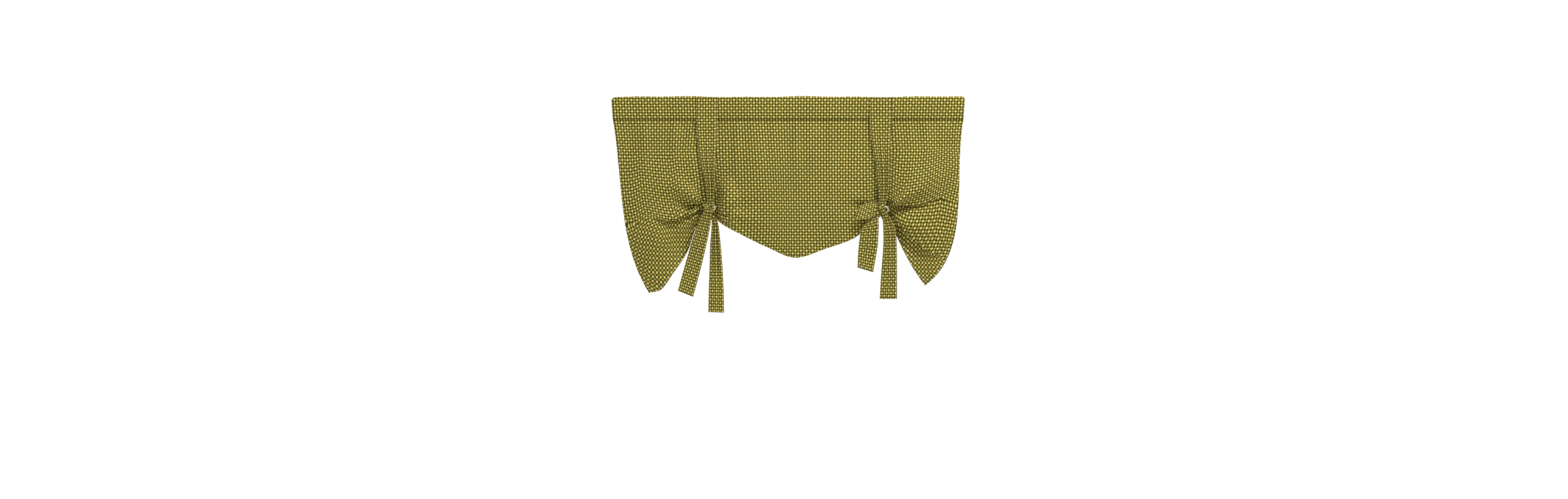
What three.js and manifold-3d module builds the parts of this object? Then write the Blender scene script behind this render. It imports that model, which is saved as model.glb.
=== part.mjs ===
// Tie-up window valance: a rod pocket, one panel gathered up at two knots, four ties and two small rings.
// Millimetres, +Z up, the front faces -Y. The origin is the middle of the top edge.
import * as THREE from 'three';
import { mergeVertices } from 'three/addons/utils/BufferGeometryUtils.js';
import Module from 'manifold-3d';

const wasm = await Module();
wasm.setup();

// ---------------------------------------------------------------- driving dimensions
const WIDTH = 1160; // heading, shirred on its rod
const FLAT_WIDTH = 1270; // the panel as cut, 50 in
const POCKET_DROP = 76; // top edge to seam, 3 in
const POCKET_DEPTH = 14; // the sleeve, front to back, round a flat rod
const CLOTH = 2; // doubled cotton with its hems
const GAP = 0.3; // between pieces sewn to each other
const EDGE_DRAW_IN = 5; // how much narrower each side is at the seam than at the top
const CORNER_RADIUS = 12; // top corners of the heading
const LAYER_STEP = 5; // between the layers of a fold, middle to middle
const ROLL_RADIUS = 7; // the panel's turn under along the swag
const RING = { radius: 10.6, section: 2.7 }; // to the middle of its section; the section's own radius

const HALF = CLOTH / 2;
const FLAT_EDGE = FLAT_WIDTH / 2;

// ---------------------------------------------------------------- tables of the hang
// A table's rows, each as an object with the columns' names.
const table = (columns, rows) => rows.map(
  (row) => Object.fromEntries(columns.map((column, i) => [column, row[i]])),
);

// Each row is a line of the weave: `flat` its place on the cut cloth, (endX, endZ) the lowest point that it
// reaches, `lean` its angle from vertical there in degrees, `shift` how far its upper half is drawn to the
// right, `belly` how far it stands forward, `turned` the length that goes on past the lowest point, `under` 1
// where that goes back up behind, `columns` the steps to the next row.
const LINES = table(
  ['name', 'flat', 'endX', 'endZ', 'lean', 'shift', 'belly', 'turned', 'under', 'columns'],
  [
    ['left edge', -635, -460, -637, 31, 28, 14, 8, 0, 2],
    ['left tail', -592, -427, -630, 33, 19, 20, 8, 0, 3],
    ['left hem', -520, -380, -572, 31, 7, 25, 8, 0, 3],
    ['left gather', -420, -333, -500, 26, 0, 24, 8, 0, 3],
    ['left drawn', -335, -302, -420, 14, 0, 17, 8, 0, 3],
    ['left knot', -284, -262, -386, 2, 0, 9, 9, 0.35, 4],
    ['left puff', -240, -214, -421, -3, 0, 14, 14, 1, 4],
    ['left swag', -185, -160, -450, -4, 0, 27, 40, 1, 3],
    ['mid left', -95, -72, -493, -4, 0, 36, 84, 1, 3],
    ['tip', 22, 25, -529, 0, 0, 40, 104, 1, 3],
    ['mid right', 130, 124, -499, 3, 0, 37, 86, 1, 3],
    ['right swag', 232, 212, -467, 3, 0, 27, 42, 1, 3],
    ['right bow', 298, 276, -418, 2, 0, 13, 14, 1, 3],
    ['right knot', 348, 322, -384, 0, 0, 9, 9, 0.35, 4],
    ['right drawn', 392, 351, -436, -14, 0, 17, 8, 0, 4],
    ['right gather', 470, 384, -503, -27, 0, 25, 8, 0, 3],
    ['right hem', 560, 424, -572, -40, -9, 25, 8, 0, 3],
    ['right edge', 635, 455, -615, -52, -24, 14, 8, 0, 0],
  ],
);

// Overlapping folds that run out sideways from a knot. `knot` is the flat place where they start, `inner` how
// soon they end on the swag's side, `reach` how far out a fold fades; `atKnot` and `atEnd` say how far down
// each line of the weave its edge lies, as a share of its length; `hidden` is the depth tucked behind it.
const FOLD_SIDES = [
  {
    name: 'left', knot: -284, inner: 84, outward: -1,
    upper: { atKnot: 0.86, atEnd: 0.72, hidden: 24, reach: 110 },
    lower: { atKnot: 0.945, atEnd: 0.66, hidden: 58, reach: 215 },
  },
  {
    name: 'right', knot: 348, inner: 84, outward: 1,
    upper: { atKnot: 0.86, atEnd: 0.5, hidden: 20, reach: 205 },
    lower: { atKnot: 0.955, atEnd: 0.84, hidden: 52, reach: 250 },
  },
];

const KNOTS = { left: { x: -254, z: -366 }, right: { x: 314, z: -370 } };

// Soft ridges (height above 0) and troughs (below 0) that fan out from a knot: `angle` from +X in degrees,
// `width` at the knot, `spread` how fast it widens, `reach` its length.
const RIDGES = table(
  ['knot', 'angle', 'height', 'width', 'spread', 'reach'],
  [
    ['left', 172, 8, 9, 0.16, 210],
    ['left', 158, -6, 9, 0.14, 190],
    ['left', 143, 8, 10, 0.16, 240],
    ['left', 124, -4, 9, 0.12, 200],
    ['left', 235, -8, 8, 0.1, 150],
    ['left', 222, 5, 9, 0.14, 190],
    ['left', -14, 9, 10, 0.16, 260],
    ['left', 4, -6, 10, 0.14, 220],
    ['left', 24, 5, 12, 0.16, 240],
    ['right', 38, 11, 9, 0.15, 300],
    ['right', 6, -8, 10, 0.14, 290],
    ['right', 66, -5, 10, 0.12, 200],
    ['right', -28, 8, 11, 0.14, 280],
    ['right', -52, -6, 8, 0.12, 240],
    ['right', 196, 8, 10, 0.16, 240],
    ['right', 180, -6, 10, 0.14, 200],
    ['right', 160, 6, 12, 0.16, 230],
  ],
);

// Small upright gathers below the pocket's seam.
const GATHERS = table(
  ['x', 'height', 'width', 'length'],
  [
    [-470, 4, 14, 190],
    [-375, 5, 12, 170],
    [-169, 5, 12, 210],
    [-70, -4, 14, 190],
    [26, 5.5, 12, 240],
    [118, -4, 14, 200],
    [218, 4.5, 12, 180],
    [396, 3.5, 11, 130],
    [451, 5, 11, 160],
    [509, 4, 10, 150],
  ],
);

// The rounded ear of gathered cloth beside the left knot, and the hollow between it and the strap.
const PUFFS = [
  { x: -199, z: -352, halfWidth: 40, halfHeight: 84, height: 22 },
  { x: -232, z: -322, halfWidth: 18, halfHeight: 24, height: -6 },
];

// ---------------------------------------------------------------- small helpers
const lerp = THREE.MathUtils.lerp;
const clamp = THREE.MathUtils.clamp;
const smoothstep = THREE.MathUtils.smoothstep;
const radians = THREE.MathUtils.degToRad;

// A smooth curve through one column of a table, with no overshoot between its rows.
function tableCurve(rows, key, column) {
  const slopes = rows.slice(1).map((row, i) => (row[column] - rows[i][column]) / (row[key] - rows[i][key]));
  const tangents = rows.map((row, i) => {
    const before = slopes[i - 1] ?? slopes[i];
    const after = slopes[i] ?? slopes[i - 1];
    return before * after <= 0 ? 0 : (2 * before * after) / (before + after);
  });
  return (at) => {
    let i = 0;
    while (i < rows.length - 2 && at > rows[i + 1][key]) i += 1;
    const span = rows[i + 1][key] - rows[i][key];
    const u = clamp((at - rows[i][key]) / span, 0, 1);
    const rise = rows[i][column] + (rows[i + 1][column] - rows[i][column]) * u * u * (3 - 2 * u);
    return rise + span * u * (1 - u) * ((1 - u) * tangents[i] - u * tangents[i + 1]);
  };
}

function bell(distance, width) {
  return Math.exp(-((distance / width) ** 2));
}

// Closed body from a grid of middle points: a front and a back skin half a cloth away, and a rim round them.
function thickSheet(grid, { flatTop = false } = {}) {
  const rows = grid.length;
  const columns = grid[0].length;
  const positions = [];
  const normalAt = (r, c) => {
    const down = grid[Math.min(r + 1, rows - 1)][c].clone().sub(grid[Math.max(r - 1, 0)][c]);
    const right = grid[r][Math.min(c + 1, columns - 1)].clone().sub(grid[r][Math.max(c - 1, 0)]);
    const normal = down.cross(right);
    if (flatTop && r === 0) normal.z = 0;
    return normal.normalize();
  };
  for (const side of [1, -1]) {
    for (let r = 0; r < rows; r += 1) {
      for (let c = 0; c < columns; c += 1) {
        const point = grid[r][c].clone().addScaledVector(normalAt(r, c), side * HALF);
        positions.push(point.x, point.y, point.z);
      }
    }
  }
  const back = rows * columns;
  const id = (r, c) => r * columns + c;
  const faces = [];
  const quad = (a, b, c, d) => faces.push(a, b, c, a, c, d);
  for (let r = 0; r < rows - 1; r += 1) {
    for (let c = 0; c < columns - 1; c += 1) {
      quad(id(r, c), id(r + 1, c), id(r + 1, c + 1), id(r, c + 1));
      quad(back + id(r, c), back + id(r, c + 1), back + id(r + 1, c + 1), back + id(r + 1, c));
    }
  }
  const rim = [];
  for (let c = 0; c < columns - 1; c += 1) rim.push(id(0, c));
  for (let r = 0; r < rows - 1; r += 1) rim.push(id(r, columns - 1));
  for (let c = columns - 1; c > 0; c -= 1) rim.push(id(rows - 1, c));
  for (let r = rows - 1; r > 0; r -= 1) rim.push(id(r, 0));
  rim.forEach((from, i) => {
    const to = rim[(i + 1) % rim.length];
    quad(from, to, back + to, back + from);
  });
  const geometry = new THREE.BufferGeometry();
  geometry.setAttribute('position', new THREE.Float32BufferAttribute(positions, 3));
  geometry.setIndex(faces);
  return geometry;
}

function toSolid(geometry) {
  const bare = geometry.clone();
  bare.deleteAttribute('normal');
  bare.deleteAttribute('uv');
  const merged = mergeVertices(bare, 1e-3);
  return new wasm.Manifold(new wasm.Mesh({
    numProp: 3,
    vertProperties: new Float32Array(merged.attributes.position.array),
    triVerts: new Uint32Array(merged.index.array),
  }));
}

function fromSolid(solid) {
  const mesh = solid.getMesh();
  const geometry = new THREE.BufferGeometry();
  geometry.setAttribute('position', new THREE.BufferAttribute(new Float32Array(mesh.vertProperties), 3));
  geometry.setIndex(new THREE.BufferAttribute(new Uint32Array(mesh.triVerts), 1));
  return geometry;
}

// ---------------------------------------------------------------- rod pocket
const POCKET_STEPS = 24;
const POCKET_SIDES = 14;
const POCKET_FULLNESS = { across: 0.72, up: 0.8 }; // powers below 1 square the section up
const POCKET_QUARTER = 0.46 * Math.PI; // the steps crowd towards the two ends, as a sine's do
const POCKET_RIPPLE = { depth: 0.5, length: 43 };
const TOP_WAVES = [
  { height: 1.1, length: 71, phase: 0.6 },
  { height: 0.8, length: 29, phase: 0 },
];
const TOP_SLACK = 2; // room for the waves below the origin
const CORNER_TURN = 0.96; // how much of a corner's quarter circle is turned

// The top edge is a little uneven, and rounds off at both corners.
function topEdge(x) {
  const corner = clamp((Math.abs(x) - (WIDTH / 2 - CORNER_RADIUS)) / CORNER_RADIUS, 0, 1);
  const waves = TOP_WAVES.map(({ height, length, phase }) => height * Math.sin(x / length + phase));
  const wave = waves.reduce((sum, height) => sum + height, 0);
  return wave - TOP_SLACK - CORNER_RADIUS * (1 - Math.sqrt(1 - corner * corner * CORNER_TURN));
}

function pocketSection(x, inset) {
  const top = topEdge(x) - inset;
  const bottom = -POCKET_DROP + inset;
  const depth = POCKET_DEPTH / 2 - inset + POCKET_RIPPLE.depth * Math.sin(x / POCKET_RIPPLE.length);
  const points = [];
  for (let i = 0; i < POCKET_SIDES; i += 1) {
    const angle = (2 * Math.PI * i) / POCKET_SIDES;
    const across = Math.sign(Math.sin(angle)) * Math.abs(Math.sin(angle)) ** POCKET_FULLNESS.across;
    const up = Math.sign(Math.cos(angle)) * Math.abs(Math.cos(angle)) ** POCKET_FULLNESS.up;
    const z = lerp(bottom, top, (up + 1) / 2);
    const drawn = x * (1 - (EDGE_DRAW_IN / (WIDTH / 2)) * (z / -POCKET_DROP));
    points.push(new THREE.Vector3(drawn, depth * across, z));
  }
  return points;
}

function headerPocket() {
  const positions = [];
  const faces = [];
  const ring = POCKET_SIDES;
  const stations = [];
  for (let i = 0; i <= POCKET_STEPS; i += 1) {
    const angle = lerp(-POCKET_QUARTER, POCKET_QUARTER, i / POCKET_STEPS);
    stations.push((WIDTH / 2) * (Math.sin(angle) / Math.sin(POCKET_QUARTER)));
  }
  for (const x of stations) {
    for (const inset of [0, CLOTH]) {
      for (const point of pocketSection(x, inset)) positions.push(point.x, point.y, point.z);
    }
  }
  const id = (station, skin, side) => (station * 2 + skin) * ring + (side % ring);
  const quad = (a, b, c, d) => faces.push(a, b, c, a, c, d);
  const last = stations.length - 1;
  for (let s = 0; s < last; s += 1) {
    for (let k = 0; k < ring; k += 1) {
      quad(id(s, 0, k), id(s + 1, 0, k), id(s + 1, 0, k + 1), id(s, 0, k + 1));
      quad(id(s, 1, k), id(s, 1, k + 1), id(s + 1, 1, k + 1), id(s + 1, 1, k));
    }
  }
  for (let k = 0; k < ring; k += 1) {
    quad(id(0, 0, k), id(0, 0, k + 1), id(0, 1, k + 1), id(0, 1, k));
    quad(id(last, 0, k), id(last, 1, k), id(last, 1, k + 1), id(last, 0, k + 1));
  }
  const geometry = new THREE.BufferGeometry();
  geometry.setAttribute('position', new THREE.Float32BufferAttribute(positions, 3));
  geometry.setIndex(faces);
  return geometry;
}

// ---------------------------------------------------------------- panel
const RUN_ROWS = { top: 7, between: 2, low: 2, roll: 4, hem: 2 };
const UPPER_PULL = 0.4; // how far a line's upper stretch leans towards its lower one
const TURN = 1.9; // how far short of a fold's edge its layers part
const FOLD_STEPS = [0.04, 0.25, 0.46, 0.54, 0.75, 0.96]; // the six rows of a fold, as shares of its depth
const OPEN_STEP = 3; // between those rows where the fold has opened out
const FADE = 0.42; // the outer share of a fold's reach, over which it opens out flat
const LEAST_TURN = 0.35; // the share of a half turn's length that even an open hem has below the turn
const LAP_FADE = 0.315; // its layers lie fully lapped a little sooner
const FOLD_ROOM = 22; // least cloth between the edges of two folds
const KNOT_INFLUENCE = 330; // how far sideways a knot's folds set the height of the other's

const lineCurves = Object.fromEntries(
  ['endX', 'endZ', 'lean', 'shift', 'belly', 'turned', 'under'].map((c) => [c, tableCurve(LINES, 'flat', c)]),
);

// The line of the weave at `flat`, seen from the front, from the seam to its lowest point.
function weaveLine(flat) {
  const topX = flat * ((WIDTH / 2 - EDGE_DRAW_IN) / FLAT_EDGE);
  const top = new THREE.Vector3(topX, 0, -POCKET_DROP - GAP);
  const end = new THREE.Vector3(lineCurves.endX(flat), 0, lineCurves.endZ(flat));
  const handle = top.distanceTo(end) / 3;
  const lean = radians(lineCurves.lean(flat));
  const lower = new THREE.Vector3(end.x - handle * Math.sin(lean), 0, end.z + handle * Math.cos(lean));
  const upperX = lerp(top.x, lower.x, UPPER_PULL) + lineCurves.shift(flat);
  const upper = new THREE.Vector3(upperX, 0, top.z - handle);
  const curve = new THREE.CubicBezierCurve3(top, upper, lower, end);
  curve.arcLengthDivisions = 60;
  return curve;
}

// The two folds where this line of the weave crosses them, in mm along it.
function foldsAt(flat, length) {
  const folds = [0, 1].map(() => ({ at: 0, weight: 0, hidden: 0 }));
  let total = 0;
  for (const side of FOLD_SIDES) {
    const out = (flat - side.knot) * side.outward;
    const influence = bell(out, KNOT_INFLUENCE);
    total += influence;
    [side.upper, side.lower].forEach((fold, i) => {
      const share = out > 0 ? out / fold.reach : -out / side.inner;
      const weight = 1 - clamp(share, 0, 1);
      folds[i].at += lerp(fold.atKnot, fold.atEnd, clamp(out / fold.reach, 0, 1)) * influence;
      folds[i].weight = Math.max(folds[i].weight, weight);
      folds[i].hidden = Math.max(folds[i].hidden, fold.hidden * clamp((weight - FADE) / (1 - FADE), 0, 1));
    });
  }
  const [upper, lower] = folds.map((fold) => ({ ...fold, at: (fold.at / total) * length }));
  return [{ ...upper, at: Math.min(upper.at, lower.at - FOLD_ROOM) }, lower];
}

// Places of a fold's six rows along the line, and their steps backwards: plain cloth where weight is 0.
function foldRows(fold) {
  const lifted = smoothstep(fold.weight, 0, FADE);
  const lapped = smoothstep(fold.weight, 0, LAP_FADE);
  const tuck = Math.max(fold.hidden, 2 * TURN);
  const folded = [-TURN, 0, -TURN, -tuck + TURN, -tuck, -tuck + TURN];
  return folded.map((place, k) => ({
    along: fold.at + lerp((k - (folded.length - 1) / 2) * OPEN_STEP, place, lapped),
    back: 2 * LAYER_STEP * FOLD_STEPS[k] * lifted,
  }));
}

const RIDGE_FADE = { from: 12, full: 60, fall: 0.35 }; // mm from the knot, and a share of its reach
const GATHER_FADE = { full: 22, fall: 0.3 };

// How far forward the cloth stands at a point seen from the front.
function reliefAt(x, z) {
  let height = 0;
  for (const ridge of RIDGES) {
    const knot = KNOTS[ridge.knot];
    const angle = radians(ridge.angle);
    const along = (x - knot.x) * Math.cos(angle) + (z - knot.z) * Math.sin(angle);
    const off = (z - knot.z) * Math.cos(angle) - (x - knot.x) * Math.sin(angle);
    if (along <= 0 || along >= ridge.reach) continue;
    const share = along / ridge.reach;
    const fade = smoothstep(along, RIDGE_FADE.from, RIDGE_FADE.full)
      * (1 - smoothstep(share, RIDGE_FADE.fall, 1));
    height += ridge.height * fade * bell(off, ridge.width + ridge.spread * along);
  }
  for (const gather of GATHERS) {
    const below = -POCKET_DROP - z;
    const fade = smoothstep(below, 0, GATHER_FADE.full)
      * (1 - smoothstep(below, gather.length * GATHER_FADE.fall, gather.length));
    height += gather.height * fade * bell(x - gather.x, gather.width);
  }
  for (const puff of PUFFS) {
    const off = Math.hypot((x - puff.x) / puff.halfWidth, (z - puff.z) / puff.halfHeight);
    if (off < 1) height += puff.height * (1 - off * off) ** 1.5;
  }
  return height;
}

// The cloth behind a strap lies back, so that the strap hangs free of it.
const HELD_BELLY = 9;
const HELD = { from: 0.75, to: 1.7, foot: 330, footHalfWidth: 26 }; // shares of its half width; its foot
const STRAPS = [
  { name: 'left', x: -262, halfWidth: 40 },
  { name: 'right', x: 306, halfWidth: 42 },
];
const BELLY_PEAK = 0.86; // the share of a line where its belly is full
const WAVER = { height: 1.2, across: 37, down: 90, full: 0.2 }; // the slight unevenness of hanging cloth

function strapHold(x, z) {
  const drop = smoothstep(-z, POCKET_DROP, HELD.foot);
  return STRAPS.reduce((held, strap) => {
    const half = lerp(strap.halfWidth, HELD.footHalfWidth, drop);
    return held * smoothstep(Math.abs(x - strap.x), half * HELD.from, half * HELD.to);
  }, 1);
}

function depthAt(flat, share, x, z) {
  const free = strapHold(x, z);
  const swell = Math.sin((Math.PI / 2) * Math.min(1, share / BELLY_PEAK));
  const waver = WAVER.height * Math.sin(x / WAVER.across + z / WAVER.down) * smoothstep(share, 0, WAVER.full);
  return -lerp(HELD_BELLY, lineCurves.belly(flat), free) * swell - (reliefAt(x, z) + waver) * free;
}

// Where layers lie on each other the depth runs straight down the line, so that they stay parallel. Folds close
// to each other share one straight span, and the share of that, `joined`, falls as they part.
function straightSpans(folds) {
  const [upper, lower] = folds.map((fold) => [fold.at - fold.hidden - 2 * TURN, fold.at + TURN]);
  const joined = 1 - smoothstep(lower[0] - upper[1], 0, 2 * FOLD_ROOM);
  return { upper, lower, whole: [Math.min(upper[0], lower[0]), lower[1]], joined };
}

function panelColumn(flat) {
  const line = weaveLine(flat);
  const length = line.getLength();
  const foldPlaces = foldsAt(flat, length);
  const spans = straightSpans(foldPlaces);
  const folds = foldPlaces.map(foldRows);
  const rows = [];
  const run = (from, to, count, back) => {
    for (let i = 1; i <= count; i += 1) rows.push({ along: lerp(from, to, i / (count + 1)), back });
  };
  rows.push({ along: 0, back: 0 });
  run(0, folds[0][0].along, RUN_ROWS.top, 0);
  rows.push(...folds[0]);
  const step = folds[0].at(-1).back / FOLD_STEPS.at(-1);
  run(folds[0].at(-1).along, folds[1][0].along, RUN_ROWS.between, step);
  rows.push(...folds[1].map((row) => ({ along: row.along, back: row.back + step })));
  const behindBoth = rows.at(-1);
  const turnStart = length - ROLL_RADIUS;
  run(behindBoth.along, turnStart, RUN_ROWS.low, behindBoth.back);
  const points = rows.map((row) => panelPoint(flat, line, length, spans, row));

  // Past the lowest point the cloth either rolls under and goes back up behind, or ends in its hem.
  const under = lineCurves.under(flat);
  const turned = lineCurves.turned(flat);
  const start = panelPoint(flat, line, length, spans, { along: turnStart, back: behindBoth.back });
  const heading = line.getTangentAt(1);
  const turn = Math.PI * under;
  points.push(start);
  const at = start.clone();
  const arc = (Math.PI * ROLL_RADIUS * Math.max(under, LEAST_TURN)) / RUN_ROWS.roll;
  let angle = 0;
  const walk = (distance, bend) => {
    angle += bend / 2;
    at.addScaledVector(heading, distance * Math.cos(angle));
    at.y += distance * Math.sin(angle);
    angle += bend / 2;
    points.push(at.clone());
  };
  for (let i = 0; i < RUN_ROWS.roll; i += 1) walk(arc, turn / RUN_ROWS.roll);
  for (let i = 0; i < RUN_ROWS.hem; i += 1) walk(turned / RUN_ROWS.hem, 0);
  return points;
}

function panelPoint(flat, line, length, spans, { along, back }) {
  const depth = (place) => {
    const share = clamp(place / length, 0, 1);
    const { x, z } = line.getPointAt(share);
    return depthAt(flat, share, x, z);
  };
  const straight = ([from, to]) => {
    const inside = along > from && along < to;
    return inside ? THREE.MathUtils.mapLinear(along, from, to, depth(from), depth(to)) : depth(along);
  };
  const apart = straight(along > spans.upper[1] ? spans.lower : spans.upper);
  const point = line.getPointAt(clamp(along / length, 0, 1));
  point.y = lerp(apart, straight(spans.whole), spans.joined) + back;
  return point;
}

function panel() {
  const flats = [];
  LINES.forEach((row, i) => {
    for (let k = 0; k < row.columns; k += 1) flats.push(lerp(row.flat, LINES[i + 1].flat, k / row.columns));
  });
  flats.push(FLAT_EDGE);
  const columns = flats.map(panelColumn);
  const grid = columns[0].map((_, r) => columns.map((column) => column[r]));
  return thickSheet(grid, { flatTop: true });
}

// ---------------------------------------------------------------- ties
// A tie is a strip about 72 mm wide, flat. Each row is a place along it: its middle (x, y, z), the width it
// shows, `pleat` how deep it is folded lengthwise, `tilt` its crosswise direction from +X, in degrees.
const TIE_SIDES = 8;
const PLEATS = 2;
const TIE_STEPS = { frontStrap: 16, backStrap: 20, tail: 11, bow: 20 };

const LEFT_STRAP = [
  { x: -267, y: -8.9, z: -4, width: 68, pleat: 0, tilt: 0 },
  { x: -267, y: -8.9, z: -78, width: 67, pleat: 0.6, tilt: 0 },
  { x: -265, y: -10, z: -165, width: 60, pleat: 3, tilt: 0 },
  { x: -263, y: -12, z: -221, width: 48, pleat: 6, tilt: 0 },
  { x: -256, y: -15, z: -285, width: 33, pleat: 8, tilt: 0 },
  { x: -255, y: -19, z: -338, width: 21, pleat: 7, tilt: 0 },
  { x: -259, y: -23, z: -362, width: 16, pleat: 3, tilt: 0 },
];
const LEFT_TAIL = [
  { x: -262, y: -25, z: -364, width: 18, pleat: 2, tilt: -8 },
  { x: -264, y: -29.5, z: -384, width: 27, pleat: 4, tilt: -10 },
  { x: -272, y: -29, z: -412, width: 38, pleat: 5, tilt: -12 },
  { x: -287, y: -27, z: -465, width: 48, pleat: 4, tilt: -15 },
  { x: -304, y: -25, z: -530, width: 52, pleat: 2.5, tilt: -17 },
  { x: -322, y: -24, z: -596, width: 54, pleat: 1, tilt: -19 },
  { x: -336, y: -24, z: -647, width: 54, pleat: 0, tilt: -22 },
];
const LEFT_BACK_STRAP = [
  { x: -262, y: 8.9, z: -4, width: 68, pleat: 0, tilt: 0 },
  { x: -262, y: 9.2, z: -78, width: 67, pleat: 0.6, tilt: 0 },
  { x: -262, y: 17, z: -165, width: 58, pleat: 3, tilt: 0 },
  { x: -262, y: 26, z: -250, width: 40, pleat: 5, tilt: 0 },
  { x: -261, y: 35, z: -330, width: 24, pleat: 4, tilt: 0 },
  { x: -260, y: 36, z: -380, width: 15, pleat: 2, tilt: 0 },
  { x: -260, y: 31, z: -399, width: 13, pleat: 1, tilt: 0 },
  { x: -260, y: 16, z: -405, width: 13, pleat: 0, tilt: 0 },
  { x: -258, y: -4, z: -404, width: 12, pleat: 0, tilt: 0 },
  { x: -254, y: -16.5, z: -389, width: 12, pleat: 0, tilt: 0 },
];
const LEFT_BACK_TAIL = [
  { x: -253, y: -16.5, z: -386, width: 12, pleat: 0, tilt: 0 },
  { x: -244, y: -19, z: -398, width: 15, pleat: 3, tilt: 0 },
  { x: -239, y: -21, z: -424, width: 22, pleat: 6, tilt: 0 },
  { x: -238, y: -21, z: -480, width: 33, pleat: 8, tilt: 0 },
  { x: -236, y: -20, z: -560, width: 42, pleat: 6, tilt: -1 },
  { x: -235.5, y: -20, z: -640, width: 49, pleat: 3, tilt: -2 },
  { x: -235.5, y: -20, z: -708, width: 52, pleat: 1, tilt: -2 },
];
const RIGHT_STRAP = [
  { x: 303, y: -8.9, z: -4, width: 73, pleat: 0, tilt: 0 },
  { x: 303, y: -8.9, z: -78, width: 71, pleat: 0.6, tilt: 0 },
  { x: 305, y: -10, z: -165, width: 58, pleat: 4, tilt: 0 },
  { x: 310, y: -12.5, z: -230, width: 46, pleat: 8, tilt: 0 },
  { x: 312, y: -15, z: -292, width: 39, pleat: 9, tilt: 0 },
  { x: 310, y: -19, z: -338, width: 29, pleat: 8, tilt: 0 },
  { x: 306, y: -23, z: -363, width: 18, pleat: 3, tilt: 0 },
];
const RIGHT_TAIL = [
  { x: 304, y: -25, z: -366, width: 15, pleat: 2, tilt: 14 },
  { x: 314, y: -30.5, z: -384, width: 14, pleat: 2, tilt: 14 },
  { x: 324, y: -30, z: -408, width: 29, pleat: 5, tilt: 8 },
  { x: 331, y: -29, z: -440, width: 40, pleat: 6, tilt: 4 },
  { x: 333, y: -27, z: -490, width: 44, pleat: 6, tilt: 1 },
  { x: 330, y: -25, z: -580, width: 52, pleat: 3, tilt: 0 },
  { x: 327.5, y: -24, z: -664, width: 57, pleat: 0, tilt: 0 },
];
const RIGHT_BACK_STRAP = [
  { x: 308, y: 8.9, z: -4, width: 72, pleat: 0, tilt: 0 },
  { x: 308, y: 9.2, z: -78, width: 70, pleat: 0.6, tilt: 0 },
  { x: 309, y: 17, z: -165, width: 58, pleat: 3, tilt: 0 },
  { x: 312, y: 26, z: -250, width: 40, pleat: 5, tilt: 0 },
  { x: 316, y: 35, z: -330, width: 24, pleat: 4, tilt: 0 },
  { x: 318, y: 36, z: -380, width: 15, pleat: 2, tilt: 0 },
  { x: 318, y: 31, z: -398, width: 13, pleat: 1, tilt: 0 },
  { x: 317, y: 16, z: -404, width: 13, pleat: 0, tilt: 0 },
  { x: 314, y: -4, z: -403, width: 12, pleat: 0, tilt: 0 },
  { x: 309, y: -16.5, z: -388, width: 12, pleat: 0, tilt: 0 },
];
const RIGHT_BACK_TAIL = [
  { x: 308, y: -17, z: -386, width: 11, pleat: 0, tilt: 30 },
  { x: 297, y: -22, z: -391, width: 15, pleat: 1, tilt: 35 },
  { x: 286, y: -30, z: -396, width: 27, pleat: 2, tilt: 32 },
  { x: 275, y: -33.5, z: -407, width: 44, pleat: 4, tilt: 22 },
  { x: 267, y: -34, z: -436, width: 58, pleat: 4, tilt: 6 },
  { x: 262, y: -32, z: -486, width: 62, pleat: 3, tilt: -4 },
  { x: 256, y: -30, z: -535, width: 58, pleat: 2, tilt: -12 },
  { x: 252, y: -29, z: -569, width: 54, pleat: 1, tilt: -17 },
];
const RIGHT_BOW = [
  { x: 299, y: -28, z: -369, width: 16, pleat: 2, tilt: 84 },
  { x: 288, y: -41, z: -368, width: 40, pleat: 4, tilt: 82 },
  { x: 262, y: -48, z: -373, width: 55, pleat: 2, tilt: 78 },
  { x: 238, y: -51, z: -380, width: 54, pleat: 0, tilt: 74 },
  { x: 227, y: -50, z: -383, width: 50, pleat: 0, tilt: 72 },
  { x: 222, y: -45, z: -384, width: 48, pleat: 0, tilt: 72 },
  { x: 227, y: -40, z: -383, width: 48, pleat: 0, tilt: 72 },
  { x: 240, y: -38.5, z: -382, width: 46, pleat: 0, tilt: 73 },
  { x: 262, y: -38, z: -381, width: 36, pleat: 1, tilt: 76 },
  { x: 288, y: -30, z: -384, width: 18, pleat: 1, tilt: 80 },
  { x: 305, y: -18, z: -388, width: 11, pleat: 0, tilt: 84 },
];
const KNOT_LUMPS = {
  left: { x: -264, y: -24, z: -364, half: [14, 9, 12.5] },
  right: { x: 302, y: -24, z: -367, half: [15, 9, 13] },
};
const RING_PLACES = {
  left: { x: -250.5, y: -24, z: -366.5 },
  right: { x: 316.5, y: -24, z: -373 },
};

// A closed strip through the rows of a table, pleated towards the front.
function strip(rows, steps) {
  const middles = rows.map(({ x, y, z }) => new THREE.Vector3(x, y, z));
  const along = new THREE.CatmullRomCurve3(middles, false, 'centripetal');
  const numbered = rows.map((row, i) => ({ ...row, place: i / (rows.length - 1) }));
  const width = tableCurve(numbered, 'place', 'width');
  const pleat = tableCurve(numbered, 'place', 'pleat');
  const tilt = tableCurve(numbered, 'place', 'tilt');
  const grid = [];
  for (let i = 0; i <= steps; i += 1) {
    const place = i / steps;
    const middle = along.getPoint(place);
    const tangent = along.getTangent(place);
    const angle = radians(tilt(place));
    const across = new THREE.Vector3(Math.cos(angle), 0, Math.sin(angle));
    const raised = new THREE.Vector3().crossVectors(tangent, across).normalize();
    const row = [];
    for (let k = 0; k <= TIE_SIDES; k += 1) {
      const share = k / TIE_SIDES;
      const lift = pleat(place) * (0.5 - 0.5 * Math.cos(2 * Math.PI * PLEATS * share));
      const aside = (share - 0.5) * width(place);
      row.push(middle.clone().addScaledVector(across, aside).addScaledVector(raised, lift));
    }
    grid.push(row);
  }
  return toSolid(thickSheet(grid));
}

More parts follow.
